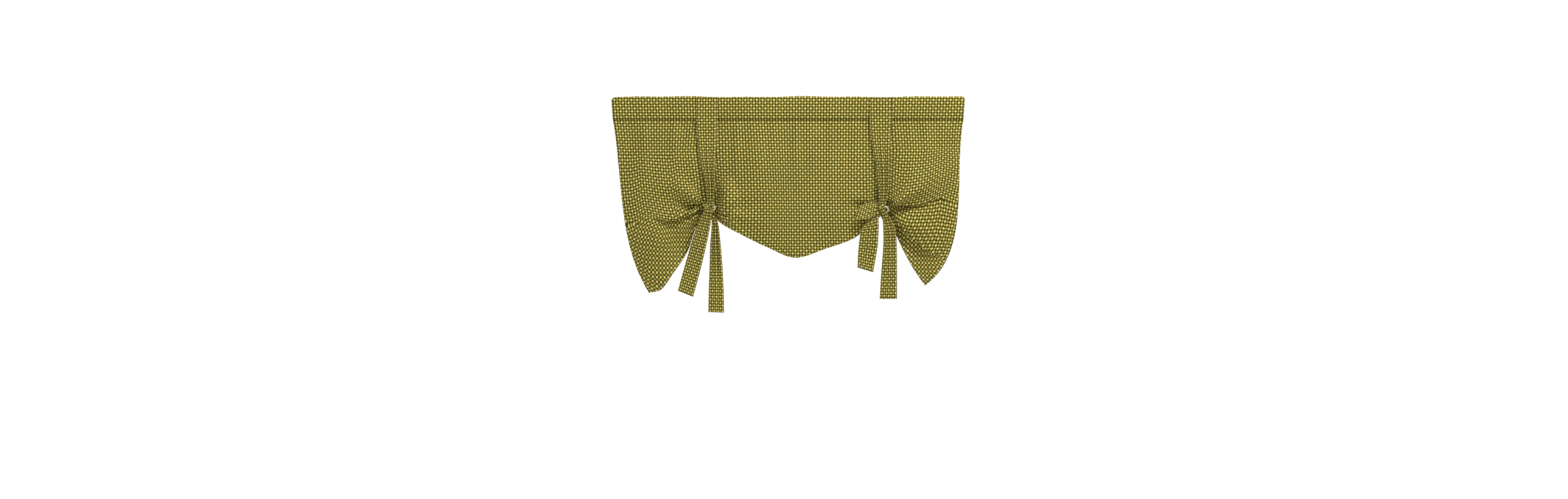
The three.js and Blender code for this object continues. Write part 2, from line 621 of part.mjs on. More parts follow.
const KNOT_CREASE = { depth: 0.1, down: 7, slant: 3 };
const SEAT = GAP + 0.1; // room cut in the cloth round a ring or a lump

// The knot itself: cloth wound into a small lump with slanting creases.
function knotLump({ x, y, z, half }, grow = 0) {
  const geometry = new THREE.SphereGeometry(1, 12, 8);
  const position = geometry.attributes.position;
  const point = new THREE.Vector3();
  for (let i = 0; i < position.count; i += 1) {
    point.fromBufferAttribute(position, i);
    const wound = Math.sin(KNOT_CREASE.down * point.z + KNOT_CREASE.slant * point.x);
    const crease = 1 - KNOT_CREASE.depth * (0.5 + 0.5 * wound);
    const scale = (side) => half[side] * crease + grow;
    position.setXYZ(i, x + point.x * scale(0), y + point.y * scale(1), z + point.z * scale(2));
  }
  return toSolid(geometry);
}

function ringBody({ x, y, z }, grow = 0) {
  const geometry = new THREE.TorusGeometry(RING.radius, RING.section + grow, 6, 20);
  geometry.rotateX(Math.PI / 2);
  geometry.translate(x, y, z);
  return geometry;
}

function frontTie(strap, tail, lump, ring) {
  const groove = toSolid(ringBody(ring, SEAT));
  const body = strip(strap, TIE_STEPS.frontStrap).add(knotLump(lump)).add(strip(tail, TIE_STEPS.tail));
  return fromSolid(body.subtract(groove));
}

function backTie(strap, hanging, lump, ring) {
  const body = hanging.reduce((solid, part) => solid.add(part), strip(strap, TIE_STEPS.backStrap));
  const room = knotLump(lump, SEAT).add(toSolid(ringBody(ring, SEAT)));
  return fromSolid(body.subtract(room));
}

// ---------------------------------------------------------------- build
const PRINTED_COTTON = { color: 0x8c8434, roughness: 0.9, metalness: 0 };
const RING_PLASTIC = { color: 0xd9d7cf, roughness: 0.35, metalness: 0 };

const valance = new THREE.Group();
valance.name = 'window_valance';

function addPiece(name, geometry, finish) {
  const mesh = new THREE.Mesh(geometry, new THREE.MeshStandardMaterial(finish));
  mesh.name = name;
  valance.add(mesh);
}

addPiece('header_pocket', headerPocket(), PRINTED_COTTON);
addPiece('panel', panel(), PRINTED_COTTON);
addPiece(
  'tie_left_front',
  frontTie(LEFT_STRAP, LEFT_TAIL, KNOT_LUMPS.left, RING_PLACES.left),
  PRINTED_COTTON,
);
addPiece(
  'tie_left_back',
  backTie(LEFT_BACK_STRAP, [strip(LEFT_BACK_TAIL, TIE_STEPS.tail)], KNOT_LUMPS.left, RING_PLACES.left),
  PRINTED_COTTON,
);
addPiece(
  'tie_right_front',
  frontTie(RIGHT_STRAP, RIGHT_TAIL, KNOT_LUMPS.right, RING_PLACES.right),
  PRINTED_COTTON,
);
addPiece(
  'tie_right_back',
  backTie(
    RIGHT_BACK_STRAP,
    [strip(RIGHT_BACK_TAIL, TIE_STEPS.tail), strip(RIGHT_BOW, TIE_STEPS.bow)],
    KNOT_LUMPS.right,
    RING_PLACES.right,
  ),
  PRINTED_COTTON,
);
addPiece('ring_left', ringBody(RING_PLACES.left), RING_PLASTIC);
addPiece('ring_right', ringBody(RING_PLACES.right), RING_PLASTIC);

export default valance;
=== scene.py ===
"""Dresses a tie-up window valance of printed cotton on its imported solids.

The cloth is one printed sheet: a rod pocket folded at the top edge, and a panel that two pairs of ties
gather up. Tables are in millimetres, in the solids' own frame, and meshes are made in metres.
"""

from __future__ import annotations

import logging
import math
from dataclasses import dataclass, field
from enum import Enum
from typing import Any, Mapping, Sequence

import bpy
import numpy as np
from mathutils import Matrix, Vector

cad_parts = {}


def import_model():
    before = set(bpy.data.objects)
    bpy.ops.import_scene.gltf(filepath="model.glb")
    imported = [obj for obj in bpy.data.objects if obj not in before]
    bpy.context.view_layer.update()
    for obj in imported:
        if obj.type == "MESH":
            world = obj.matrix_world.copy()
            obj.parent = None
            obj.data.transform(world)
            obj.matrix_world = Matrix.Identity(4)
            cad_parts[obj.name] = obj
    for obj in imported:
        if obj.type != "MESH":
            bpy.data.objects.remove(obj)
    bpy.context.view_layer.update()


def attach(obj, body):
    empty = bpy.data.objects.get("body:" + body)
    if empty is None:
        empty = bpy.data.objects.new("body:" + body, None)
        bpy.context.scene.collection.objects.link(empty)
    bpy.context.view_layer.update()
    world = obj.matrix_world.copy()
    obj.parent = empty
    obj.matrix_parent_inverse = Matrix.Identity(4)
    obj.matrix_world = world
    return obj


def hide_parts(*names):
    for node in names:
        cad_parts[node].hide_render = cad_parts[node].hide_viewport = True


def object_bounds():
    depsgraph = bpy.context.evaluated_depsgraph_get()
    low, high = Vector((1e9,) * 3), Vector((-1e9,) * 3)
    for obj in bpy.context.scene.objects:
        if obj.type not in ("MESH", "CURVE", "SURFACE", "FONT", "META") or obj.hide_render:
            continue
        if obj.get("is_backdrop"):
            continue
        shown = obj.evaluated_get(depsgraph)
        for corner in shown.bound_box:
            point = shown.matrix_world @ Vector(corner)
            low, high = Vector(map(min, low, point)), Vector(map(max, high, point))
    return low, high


LOG = logging.getLogger("valance")

MM = 0.001
BODY = "root"

# Driving sizes of the valance, in millimetres.
HEADING_WIDTH = 1160.0
FLAT_WIDTH = 1270.0
POCKET_DROP = 76.0
POCKET_DEPTH = 14.0
CORNER_RADIUS = 12.0
EDGE_DRAW_IN = 5.0
LAYER_STEP = 5.0
ROLL_RADIUS = 7.0
CLOTH = 1.2
TIE_WIDTH = 72.0


class Side(Enum):
    """The two gathers of the valance."""

    LEFT = "left"
    RIGHT = "right"


class ClothFace(Enum):
    """The printed face of the cotton, and its wrong side."""

    PRINTED = "printed"
    WRONG = "wrong"


# -------------------------------------------------------------------------------- small helpers
def smoothstep(value: np.ndarray, low: float, high: float) -> np.ndarray:
    """Return a smooth rise from 0 at low to 1 at high."""
    share = np.clip((np.asarray(value, float) - low) / (high - low), 0.0, 1.0)
    return share * share * (3.0 - 2.0 * share)


def bell(distance: np.ndarray, width: np.ndarray) -> np.ndarray:
    """Return a soft bump of height 1 and about that half width."""
    return np.exp(-((distance / width) ** 2))


def mix(low: Any, high: Any, share: Any) -> Any:
    """Return the value that lies the given share of the way from low to high."""
    return low + (high - low) * share


class TableCurve:
    """A smooth curve through one column of a table, with no overshoot between its rows."""

    def __init__(self, places: Sequence[float], values: Sequence[float]) -> None:
        """Keep the table's column and work out its slopes.

        Args:
            places: where each row lies, rising.
            values: the column's value in each row.
        """
        self.places = np.array(places, float)
        self.values = np.array(values, float)
        slopes = np.diff(self.values) / np.diff(self.places)
        before = np.concatenate((slopes[:1], slopes))
        after = np.concatenate((slopes, slopes[-1:]))
        agree = before * after > 0
        total = np.where(agree, before + after, 1.0)
        self.tangents = np.where(agree, 2 * before * after / total, 0.0)

    def __call__(self, at: Any) -> np.ndarray:
        """Return the curve's value at a place or at each of several.

        Args:
            at: one place or an array of them.

        Returns:
            The value there, held level past the table's ends.
        """
        at = np.asarray(at, float)
        row = np.clip(np.searchsorted(self.places, at, side="right") - 1, 0, len(self.places) - 2)
        span = self.places[row + 1] - self.places[row]
        u = np.clip((at - self.places[row]) / span, 0.0, 1.0)
        rise = mix(self.values[row], self.values[row + 1], u * u * (3 - 2 * u))
        return rise + span * u * (1 - u) * ((1 - u) * self.tangents[row] - u * self.tangents[row + 1])


@dataclass
class Grid:
    """Points of a sheet in rows and columns, with the place of each on the cut cloth.

    Attributes:
        points: rows × columns × 3, in millimetres.
        cut: rows × columns × 2, across and along the cut cloth, in millimetres.
        hem: rows × columns × 2, how far each is from the nearer side edge and from the lower edge.
    """

    points: np.ndarray
    cut: np.ndarray
    hem: np.ndarray


def lay_flat(
    points: np.ndarray, guess: np.ndarray, held: np.ndarray,
    rounds: int = 900, carry: float = 0.8, smooth: float = 0.5,
) -> np.ndarray:
    """Lay a grid of cloth out flat, so that neighbours keep their true distances.

    Args:
        points: places in space, by row and column.
        guess: the first guess of the flat places.
        held: where the cloth stays as guessed.
        rounds: how many times every distance is set right.
        carry: the share of a round's movement that goes on into the next.
        smooth: the share of a kink in a row or a column that each round takes out.

    Returns:
        The flat places.
    """
    rows, columns = points.shape[:2]
    links = []
    for down, across in ((1, 0), (0, 1), (1, 1), (1, -1)):
        first = (slice(0, rows - down), slice(max(-across, 0), columns - max(across, 0)))
        second = (slice(down, rows), slice(max(across, 0), columns - max(-across, 0)))
        links.append((first, second, np.linalg.norm(points[second] - points[first], axis=2)))
    count = np.zeros((rows, columns, 1))
    for first, second, _ in links:
        count[first] += 1
        count[second] += 1
    down, across = (np.maximum(links[way][2], 1e-3)[..., None] for way in (0, 1))
    share_down = down[1:] / (down[:-1] + down[1:])
    share_across = across[:, 1:] / (across[:, :-1] + across[:, 1:])
    at, before = guess.copy(), guess.copy()
    for _ in range(rounds):
        move = np.zeros_like(at)
        for first, second, length in links:
            apart = at[second] - at[first]
            span = np.maximum(np.sqrt((apart * apart).sum(axis=2)), 1e-6)
            shift = apart * (0.5 * (span - length) / span)[..., None]
            move[first] += shift
            move[second] -= shift
        move /= count
        move[1:-1] += smooth * (mix(at[2:], at[:-2], share_down) - at[1:-1])
        move[:, 1:-1] += smooth * (mix(at[:, 2:], at[:, :-2], share_across) - at[:, 1:-1])
        at, before = at + move + carry * (at - before), at
        at[held] = guess[held]
    return at


def hem_distances(points: np.ndarray) -> np.ndarray:
    """Work out how far a grid's points lie from its nearer side edge, and from its last row.

    Args:
        points: places in space, by row and column.

    Returns:
        The two distances, by row and column.
    """
    across = np.linalg.norm(np.diff(points, axis=1), axis=2)
    down = np.linalg.norm(np.diff(points, axis=0), axis=2)
    from_left = np.pad(np.cumsum(across, axis=1), ((0, 0), (1, 0)))
    from_right = np.pad(np.cumsum(across[:, ::-1], axis=1)[:, ::-1], ((0, 0), (0, 1)))
    from_end = np.pad(np.cumsum(down[::-1], axis=0)[::-1], ((0, 1), (0, 0)))
    return np.stack((np.minimum(from_left, from_right), from_end), axis=2)


def new_piece(
    name: str, vertices: Sequence[Any], faces: Sequence[Any], finishes: Sequence[bpy.types.Material]
) -> bpy.types.Object:
    """Make a smooth mesh object.

    Args:
        name: the object's name.
        vertices: its points, in metres.
        faces: its faces' corners.
        finishes: its materials.

    Returns:
        The new object, linked to the scene.
    """
    mesh = bpy.data.meshes.new(name)
    mesh.from_pydata(vertices, [], faces)
    mesh.polygons.foreach_set("use_smooth", [True] * len(faces))
    for finish in finishes:
        mesh.materials.append(finish)
    piece = bpy.data.objects.new(name, mesh)
    bpy.context.scene.collection.objects.link(piece)
    return piece


def cloth_object(
    name: str, grids: Sequence[Grid], thickness: float, finishes: Sequence[bpy.types.Material]
) -> bpy.types.Object:
    """Make one cloth object from sheets, with its two maps and its thickness.

    Args:
        name: the object's name.
        grids: the sheets.
        thickness: the cloth's thickness in millimetres.
        finishes: the materials of the printed face and of the back.

    Returns:
        The new object, linked to the scene.
    """
    vertices: list[tuple[float, float, float]] = []
    faces: list[tuple[int, int, int, int]] = []
    cuts: list[np.ndarray] = []
    hems: list[np.ndarray] = []
    for grid in grids:
        rows, columns = grid.points.shape[:2]
        start = len(vertices)
        vertices.extend(map(tuple, grid.points.reshape(-1, 3) * MM))
        cuts.append(grid.cut.reshape(-1, 2) * MM)
        hems.append(grid.hem.reshape(-1, 2) * MM)
        for r in range(rows - 1):
            for c in range(columns - 1):
                corner = start + r * columns + c
                faces.append((corner, corner + columns, corner + columns + 1, corner + 1))
    piece = new_piece(name, vertices, faces, finishes)
    mesh = piece.data
    corners = np.zeros(len(mesh.loops), int)
    mesh.loops.foreach_get("vertex_index", corners)
    for layer, values in (("Cut", np.concatenate(cuts)), ("Hem", np.concatenate(hems))):
        mesh.uv_layers.new(name=layer).uv.foreach_set("vector", values[corners].astype(np.float32).ravel())
    body = piece.modifiers.new("thickness", "SOLIDIFY")
    body.thickness = thickness * MM
    body.offset = 0.0
    body.use_even_offset = False
    body.material_offset = len(finishes) - 1
    return piece


# -------------------------------------------------------------------------------- finishes
def linear(hex_colour: str) -> tuple[float, float, float, float]:
    """Turn an sRGB colour such as #8c8434 into linear red, green, blue and alpha.

    Args:
        hex_colour: the colour.

    Returns:
        Its linear channels and an alpha of 1.
    """
    channels = [int(hex_colour[i : i + 2], 16) / 255 for i in (1, 3, 5)]
    red, green, blue = (c / 12.92 if c <= 0.04045 else ((c + 0.055) / 1.055) ** 2.4 for c in channels)
    return red, green, blue, 1.0


def fill_inputs(tree: Any, node: Any, inputs: Mapping[Any, Any]) -> None:
    """Link or set inputs of a node.

    Args:
        tree: the material's node tree.
        node: the node.
        inputs: for each input's name or number, an output socket to link or a value to set.
    """
    for name, value in inputs.items():
        if isinstance(value, bpy.types.NodeSocket):
            tree.links.new(value, node.inputs[name])
        else:
            node.inputs[name].default_value = value


def add_node(tree: Any, kind: str, settings: Mapping[str, Any] = {}, inputs: Mapping[Any, Any] = {}) -> Any:
    """Add one node with its settings and links.

    Args:
        tree: the material's node tree.
        kind: the node's type.
        settings: the node's own properties.
        inputs: for each input's name or number, an output socket to link or a value to set.

    Returns:
        The new node.
    """
    node = tree.nodes.new(kind)
    for name, value in settings.items():
        setattr(node, name, value)
    fill_inputs(tree, node, inputs)
    return node


def new_finish(name: str) -> tuple[bpy.types.Material, Any, Any]:
    """Make a new material.

    Args:
        name: its name.

    Returns:
        The material, its node tree and its shader.
    """
    material = bpy.data.materials.new(name)
    material.use_nodes = True
    return material, material.node_tree, material.node_tree.nodes["Principled BSDF"]


# What a pattern calls each kind of step: the node's type, its settings and its inputs in order.
STEPS: dict[str, tuple[str, dict[str, Any], tuple[int, ...]]] = {
    "BLEND": ("ShaderNodeMix", {"data_type": "RGBA"}, (0, 6, 7)),
    "RAMP": ("ShaderNodeMapRange", {}, (0, 1, 2, 3, 4)),
    "SOFT_RAMP": ("ShaderNodeMapRange", {"interpolation_type": "SMOOTHSTEP"}, (0, 1, 2, 3, 4)),
    "PAIR_SCALE": ("ShaderNodeVectorMath", {"operation": "SCALE"}, (0, 3)),
}
for _name in ("ADD", "SUBTRACT", "MULTIPLY", "DIVIDE", "FRACT", "ABSOLUTE", "MAXIMUM", "SINE", "LESS_THAN"):
    STEPS[_name] = ("ShaderNodeMath", {"operation": _name}, (0, 1))
for _name in ("ADD", "SUBTRACT", "FRACTION", "ABSOLUTE", "DOT_PRODUCT"):
    STEPS[f"PAIR_{_name}"] = ("ShaderNodeVectorMath", {"operation": _name}, (0, 1))


def add_step(tree: Any, found: Mapping[str, Any], step: Any) -> Any:
    """Add the nodes of one step of a pattern, and of the steps inside it.

    Args:
        tree: the material's node tree.
        found: output sockets by name.
        step: a step's name followed by its inputs, or the name of a socket, or a plain value.

    Returns:
        The step's socket, or the plain value.
    """
    if isinstance(step, str):
        return found[step]
    if not (isinstance(step, tuple) and isinstance(step[0], str)):
        return step
    kind, settings, slots = STEPS[step[0]]
    inputs = dict(zip(slots, (add_step(tree, found, part) for part in step[1:])))
    return next(output for output in add_node(tree, kind, settings, inputs).outputs if output.enabled)


@dataclass(frozen=True)
class PrintedCotton:
    """Plain-woven quilting-weight cotton, piece-dyed and screen printed: matt, with a slight sheen.

    Attributes:
        pitch: from one diamond to the next in a row, and two rows down the cloth, in millimetres.
        diamond: half a diamond's diagonal, in millimetres.
        fleck_length: half the length of a slanted fleck between diamonds, in millimetres.
        fleck_width: half its width.
        thread_pitch: from thread to thread as drawn, in millimetres.
        hem_stitch: how far the hems' stitches lie from the edge, in millimetres.
        stitch: the length of a stitch and the gap after it, in millimetres.
        seam: half the width of the painted shade in the pocket's seam, in millimetres.
    """

    pitch: float = 18.7
    diamond: float = 4.4
    fleck_length: float = 5.0
    fleck_width: float = 3.0
    pale: str = "#efe18c"
    pale_warm: str = "#f0cc80"
    fleck: str = "#d8bf54"
    fleck_green: str = "#b0b058"
    ground: str = "#4a4100"
    ground_warm: str = "#544000"
    ground_green: str = "#424c00"
    thread: str = "#cfc79a"
    # The colour of the painted shade in the pocket's seam.
    seam_painted_shade: str = "#2b2606"
    wrong_side: str = "#a39a62"
    wrong_cover: float = 0.55
    blotches_per_metre: float = 75.0
    thread_pitch: float = 0.9
    thread_height: float = 0.25
    thread_drift: float = 0.4
    roughness: float = 0.88
    specular: float = 0.12
    sheen: float = 0.04
    hem_stitch: float = 11.0
    stitch: float = 3.0
    stitch_width: float = 0.9
    seam: float = 1.9

    def material(self, face: ClothFace) -> bpy.types.Material:
        """Make the material of one face of the cloth.

        Args:
            face: the printed face or the wrong side, where the print only ghosts through.

        Returns:
            The material.
        """
        material, tree, shader = new_finish(f"printed_cotton_{face.value}")
        cut, hem = (add_node(tree, "ShaderNodeUVMap", {"uv_map": name}).outputs[0] for name in ("Cut", "Hem"))
        found = {"cut": cut}
        for name, sheet_map in (("cut", cut), ("hem", hem)):
            place = add_node(tree, "ShaderNodeSeparateXYZ", {}, {0: sheet_map})
            found |= {f"{name} x": place.outputs[0], f"{name} y": place.outputs[1]}
        self.print_colour(tree, found)
        self.stitches(tree, found)
        colour = self.unevenness(tree, found)
        if face is ClothFace.WRONG:
            colour = add_step(tree, found, ("BLEND", self.wrong_cover, colour, linear(self.wrong_side)))
        fill_inputs(tree, shader, {
            "Base Color": colour, "Normal": self.weave(tree, cut), "Roughness": self.roughness,
            "Specular IOR Level": self.specular, "Sheen Weight": self.sheen, "Sheen Roughness": 0.5,
        })
        return material

    def print_colour(self, tree: Any, found: dict[str, Any]) -> None:
        """Draw the diamonds, the slanted flecks between them and the shaded ground.

        Args:
            tree: the node tree.
            found: the sockets by name, to which the print's colour is added as "printed".
        """
        noise = add_node(
            tree, "ShaderNodeTexNoise", {"noise_dimensions": "2D"},
            {"Vector": found["cut"], "Scale": self.blotches_per_metre},
        )
        found["noise"] = noise.outputs[0]
        middle = (0.5, 0.5, 0.0)
        size = self.diamond / self.pitch
        found["repeats"] = add_step(tree, found, ("PAIR_SCALE", "cut", 1 / (self.pitch * MM)))
        # Flecks stand halfway between the diamonds and slant to either side, in turn.
        for name, moved, slant in (("up", (0.5, 0.0, 0.0), 1), ("down", (0.0, 0.5, 0.0), -1)):
            found[name] = add_step(
                tree, found, ("PAIR_SUBTRACT", ("PAIR_FRACTION", ("PAIR_ADD", "repeats", moved)), middle)
            )
            ways = []
            for half, side in ((self.fleck_length, -slant), (self.fleck_width, slant)):
                rate = self.pitch / (half * 1.4)
                ways.append(("ABSOLUTE", ("PAIR_DOT_PRODUCT", name, (rate, rate * side, 0.0))))
            flecks = ("SOFT_RAMP", ("ADD", *ways), 0.66, 1.34, 1.0, 0.0)
            found[f"{name} flecks"] = add_step(tree, found, flecks)
        steps = {
            # Diamonds stand at the middle and at the corners of each repeat.
            "off": ("PAIR_ABSOLUTE", ("PAIR_SUBTRACT", ("PAIR_FRACTION", "repeats"), middle)),
            "reach": ("PAIR_DOT_PRODUCT", "off", (1.0, 1.0, 0.0)),
            "near": ("SUBTRACT", 0.5, ("ABSOLUTE", ("SUBTRACT", "reach", 0.5))),
            "diamonds": ("SOFT_RAMP", "near", size - 0.035, size + 0.035, 1.0, 0.0),
            "hearts": ("SOFT_RAMP", "near", size * 0.3 - 0.04, size * 0.3 + 0.04, 1.0, 0.0),
            # Above each diamond the ground is printed redder, and below it greener.
            "band": ("SINE", ("MULTIPLY", "cut y", 4 * math.pi / (self.pitch * MM))),
            "warmth": ("MULTIPLY", ("MAXIMUM", "band", 0.0), 0.8),
            "greenness": ("MULTIPLY", ("MAXIMUM", ("MULTIPLY", "band", -1.0), 0.0), 0.95),
            "warm ground": ("BLEND", "warmth", linear(self.ground), linear(self.ground_warm)),
            "ground": ("BLEND", "greenness", "warm ground", linear(self.ground_green)),
            "blotches": ("RAMP", "noise", 0.35, 0.65),
            "flecks": ("BLEND", "blotches", linear(self.fleck), linear(self.fleck_green)),
            "heart warmth": ("MULTIPLY", ("MULTIPLY", "hearts", "blotches"), 0.8),
            "pales": ("BLEND", "heart warmth", linear(self.pale), linear(self.pale_warm)),
            "flecked": ("BLEND", ("MAXIMUM", "up flecks", "down flecks"), "ground", "flecks"),
            "printed": ("BLEND", "diamonds", "flecked", "pales"),
        }
        for name, step in steps.items():
            found[name] = add_step(tree, found, step)

    def stitches(self, tree: Any, found: dict[str, Any]) -> None:
        """Draw the row of machine stitches that holds the hems, and the painted shade in the pocket's seam.

        Args:
            tree: the node tree.
            found: the sockets by name, to which the colour with the stitches and the painted seam shade is
                added as "seamed".
        """
        for own, other in (("x", "y"), ("y", "x")):
            beside = ("ABSOLUTE", ("SUBTRACT", f"hem {own}", self.hem_stitch * MM))
            # A third of each stitch is hidden in the cloth.
            dash = ("LESS_THAN", ("FRACT", ("DIVIDE", f"hem {other}", self.stitch * MM)), 0.66)
            line = ("LESS_THAN", beside, self.stitch_width / 2 * MM)
            found[f"{own} stitches"] = add_step(tree, found, ("MULTIPLY", line, dash))
        share = ("MULTIPLY", ("MAXIMUM", "x stitches", "y stitches"), 0.55)
        # Painted shade: the seam is drawn as a narrow dark line, where the cut cloth's length is counted
        # from.
        shade = ("SOFT_RAMP", ("ABSOLUTE", "cut y"), 0.3 * self.seam * MM, self.seam * MM, 0.85, 0.0)
        stitched = ("BLEND", share, "printed", linear(self.thread))
        found["seamed"] = add_step(tree, found, ("BLEND", shade, stitched, linear(self.seam_painted_shade)))

    def unevenness(self, tree: Any, found: dict[str, Any]) -> Any:
        """Let the dye and the hand of the cloth vary a little from place to place.

        Args:
            tree: the node tree.
            found: the sockets by name, with the cloth's colour as "seamed".

        Returns:
            The colour socket.
        """
        place = add_node(tree, "ShaderNodeTexCoord").outputs["Object"]
        noise = add_node(tree, "ShaderNodeTexNoise", {}, {"Vector": place, "Scale": 9.0, "Detail": 3.0})
        value = add_step(tree, found, ("RAMP", noise.outputs[0], 0.3, 0.7, 0.94, 1.05))
        return add_node(
            tree, "ShaderNodeHueSaturation", {}, {"Value": value, "Color": found["seamed"]}
        ).outputs[0]

    def weave(self, tree: Any, cut: Any) -> Any:
        """Raise the over and under of a plain weave. Real threads are 0.35 mm apart, drawn coarser to show.

        Args:
            tree: the node tree.
            cut: the cloth's flat coordinates, in metres.

        Returns:
            The normal socket.
        """
        # A wave texture of scale 1 repeats every 0.314 m.
        scale = 0.314 / (self.thread_pitch * MM)
        inputs = {"Vector": cut, "Scale": scale, "Distortion": self.thread_drift}
        waves = [
            add_node(tree, "ShaderNodeTexWave", {"bands_direction": way}, inputs).outputs["Fac"]
            for way in ("X", "Y")
        ]
        height = add_step(tree, {}, ("MULTIPLY", *waves))
        return add_node(
            tree, "ShaderNodeBump", {},
            {"Height": height, "Strength": 0.35, "Distance": self.thread_height * MM},
        ).outputs[0]


@dataclass(frozen=True)
class MouldedRing:
    """Injection-moulded acetal, off-white: smooth, a little translucent, with a faint moulding grain."""

    colour: str = "#e4e1d6"
    shade: str = "#c9c4b4"
    roughness: float = 0.32
    grain: float = 0.7
    grain_height: float = 0.1
    translucency: float = 0.15
    depth: float = 2.0

    def material(self) -> bpy.types.Material:
        """Make the rings' material.

        Returns:
            The material.
        """
        material, tree, shader = new_finish("moulded_ring")
        place = add_node(tree, "ShaderNodeTexCoord").outputs["Object"]
        noise = add_node(
            tree, "ShaderNodeTexNoise", {}, {"Vector": place, "Scale": 1 / (self.grain * MM)}
        ).outputs[0]
        tint = add_step(tree, {}, ("BLEND", noise, linear(self.colour), linear(self.shade)))
        bump = add_node(
            tree, "ShaderNodeBump", {}, {"Height": noise, "Strength": 0.1, "Distance": self.grain_height * MM}
        )
        fill_inputs(tree, shader, {
            "Base Color": tint, "Normal": bump.outputs[0], "Roughness": self.roughness,
            "Subsurface Weight": self.translucency, "Subsurface Scale": self.depth * MM,
        })
        return material


@dataclass(frozen=True)
class StudioPaper:
    """Seamless backdrop paper, pale and matt, with a painted glow of its own that grows towards the far wall.

    Attributes:
        near: how far behind the valance the stronger painted glow begins, in metres.
        far: where it is full, in metres.
    """

    colour: str = "#f6f6f5"
    roughness: float = 0.95
    painted_glow: float = 0.3
    wall_painted_glow: float = 0.72
    near: float = 0.6
    far: float = 6.0

    def material(self) -> bpy.types.Material:
        """Make the backdrop's material.

        Returns:
            The material.
        """
        material, tree, shader = new_finish("studio_paper")
        place = add_node(tree, "ShaderNodeTexCoord").outputs["Object"]
        behind = add_node(tree, "ShaderNodeSeparateXYZ", {}, {0: place}).outputs[1]
        # Painted glow: the paper's own emission, weaker near the valance and full towards the far wall,
        # stands in for lamps on it.
        glow = ("RAMP", behind, self.near, self.far, self.painted_glow, self.wall_painted_glow)
        fill_inputs(tree, shader, {
            "Base Color": linear(self.colour), "Roughness": self.roughness,
            "Emission Color": linear(self.colour), "Emission Strength": add_step(tree, {}, glow),
        })
        return material


# -------------------------------------------------------------------------------- the cloth
@dataclass(frozen=True)
class WeaveLine:
    """One line of the weave, from the seam to its lowest point.

    Attributes:
        name: what it passes.
        flat: its place on the cut cloth.
        end_x: where it ends, across.
        end_z: where it ends, in height.
        lean: its angle from vertical there, in degrees.
        shift: how far its upper half is drawn to the right.
        belly: how far it stands forward.
        turned: the length that goes on past the lowest point.
        under: 1 where that length goes back up behind.
        tucked: the depth hidden behind the lower fold there.
    """

    name: str
    flat: float
    end_x: float
    end_z: float
    lean: float
    shift: float
    belly: float
    turned: float
    under: float
    tucked: float


def table(kind: Any, *rows: Sequence[Any]) -> tuple[Any, ...]:
    """Return one object of a kind for each row of a table, whose columns are the kind's fields in order."""
    return tuple(kind(*row) for row in rows)


LINES = table(
    WeaveLine,
    ("left edge", -635, -460, -637, 31, 28, 14, 8, 0, 0),
    ("left tail", -592, -427, -630, 33, 19, 20, 8, 0, 4),
    ("left hem", -520, -380, -572, 31, 7, 25, 8, 0, 30),
    ("left gather", -420, -333, -500, 26, 0, 24, 8, 0, 60),
    ("left drawn", -335, -302, -420, 14, 0, 17, 8, 0, 64),
    ("left knot", -284, -262, -386, 2, 0, 9, 9, 0.35, 58),
    ("left puff", -240, -214, -421, -3, 0, 14, 14, 1, 30),
    ("left swag", -185, -160, -450, -4, 0, 27, 40, 1, 0),
    ("mid left", -95, -72, -493, -4, 0, 36, 84, 1, 0),
    ("tip", 22, 25, -529, 0, 0, 40, 104, 1, 0),
    ("mid right", 130, 124, -499, 3, 0, 37, 86, 1, 0),
    ("right swag", 232, 212, -467, 3, 0, 27, 42, 1, 0),
    ("right bow", 298, 276, -418, 2, 0, 13, 14, 1, 26),
    ("right knot", 348, 322, -384, 0, 0, 9, 9, 0.35, 52),
    ("right drawn", 392, 351, -436, -14, 0, 17, 8, 0, 62),
    ("right gather", 470, 384, -503, -27, 0, 25, 8, 0, 62),
    ("right hem", 560, 424, -572, -40, -18, 25, 8, 0, 34),
    ("right edge", 635, 455, -615, -52, -44, 14, 8, 0, 10),
)


@dataclass(frozen=True)
class Fold:
    """A fold that runs out sideways from a knot.

    Attributes:
        at_knot: how far down the weave its edge lies at the knot, as a share.
        at_end: the same where it fades.
        reach: how far out it fades.
        hidden: the depth tucked behind its edge at the knot, or None where the weave lines' table says.
    """

    at_knot: float
    at_end: float
    reach: float
    hidden: float | None = None


@dataclass(frozen=True)
class FoldSide:
    """The two folds beside one knot.

    Attributes:
        knot: the flat place where they start.
        inner: how soon they end on the swag's side.
        outward: -1 to the left, 1 to the right.
        folds: the upper and the lower fold.
    """

    knot: float
    inner: float
    outward: int
    folds: tuple[Fold, Fold]


FOLD_SIDES = (
    FoldSide(-284, 84, -1, (Fold(0.9, 0.72, 110, 24), Fold(0.955, 0.6, 262))),
    FoldSide(348, 84, 1, (Fold(0.86, 0.5, 205, 20), Fold(0.955, 0.82, 290))),
)

KNOT_PLACES = {Side.LEFT: (-254.0, -366.0), Side.RIGHT: (314.0, -370.0)}


@dataclass(frozen=True)
class Ridge:
    """A soft ridge (height above 0) or trough (below 0) that fans out from a knot.

    Attributes:
        side: its knot.
        angle: its direction from +X, in degrees.
        height: how far it stands forward.
        width: its half width at the knot.
        spread: how fast it widens.
        reach: its length.
        start: how far from the knot it begins.
    """

    side: Side
    angle: float
    height: float
    width: float
    spread: float
    reach: float
    start: float = 12.0


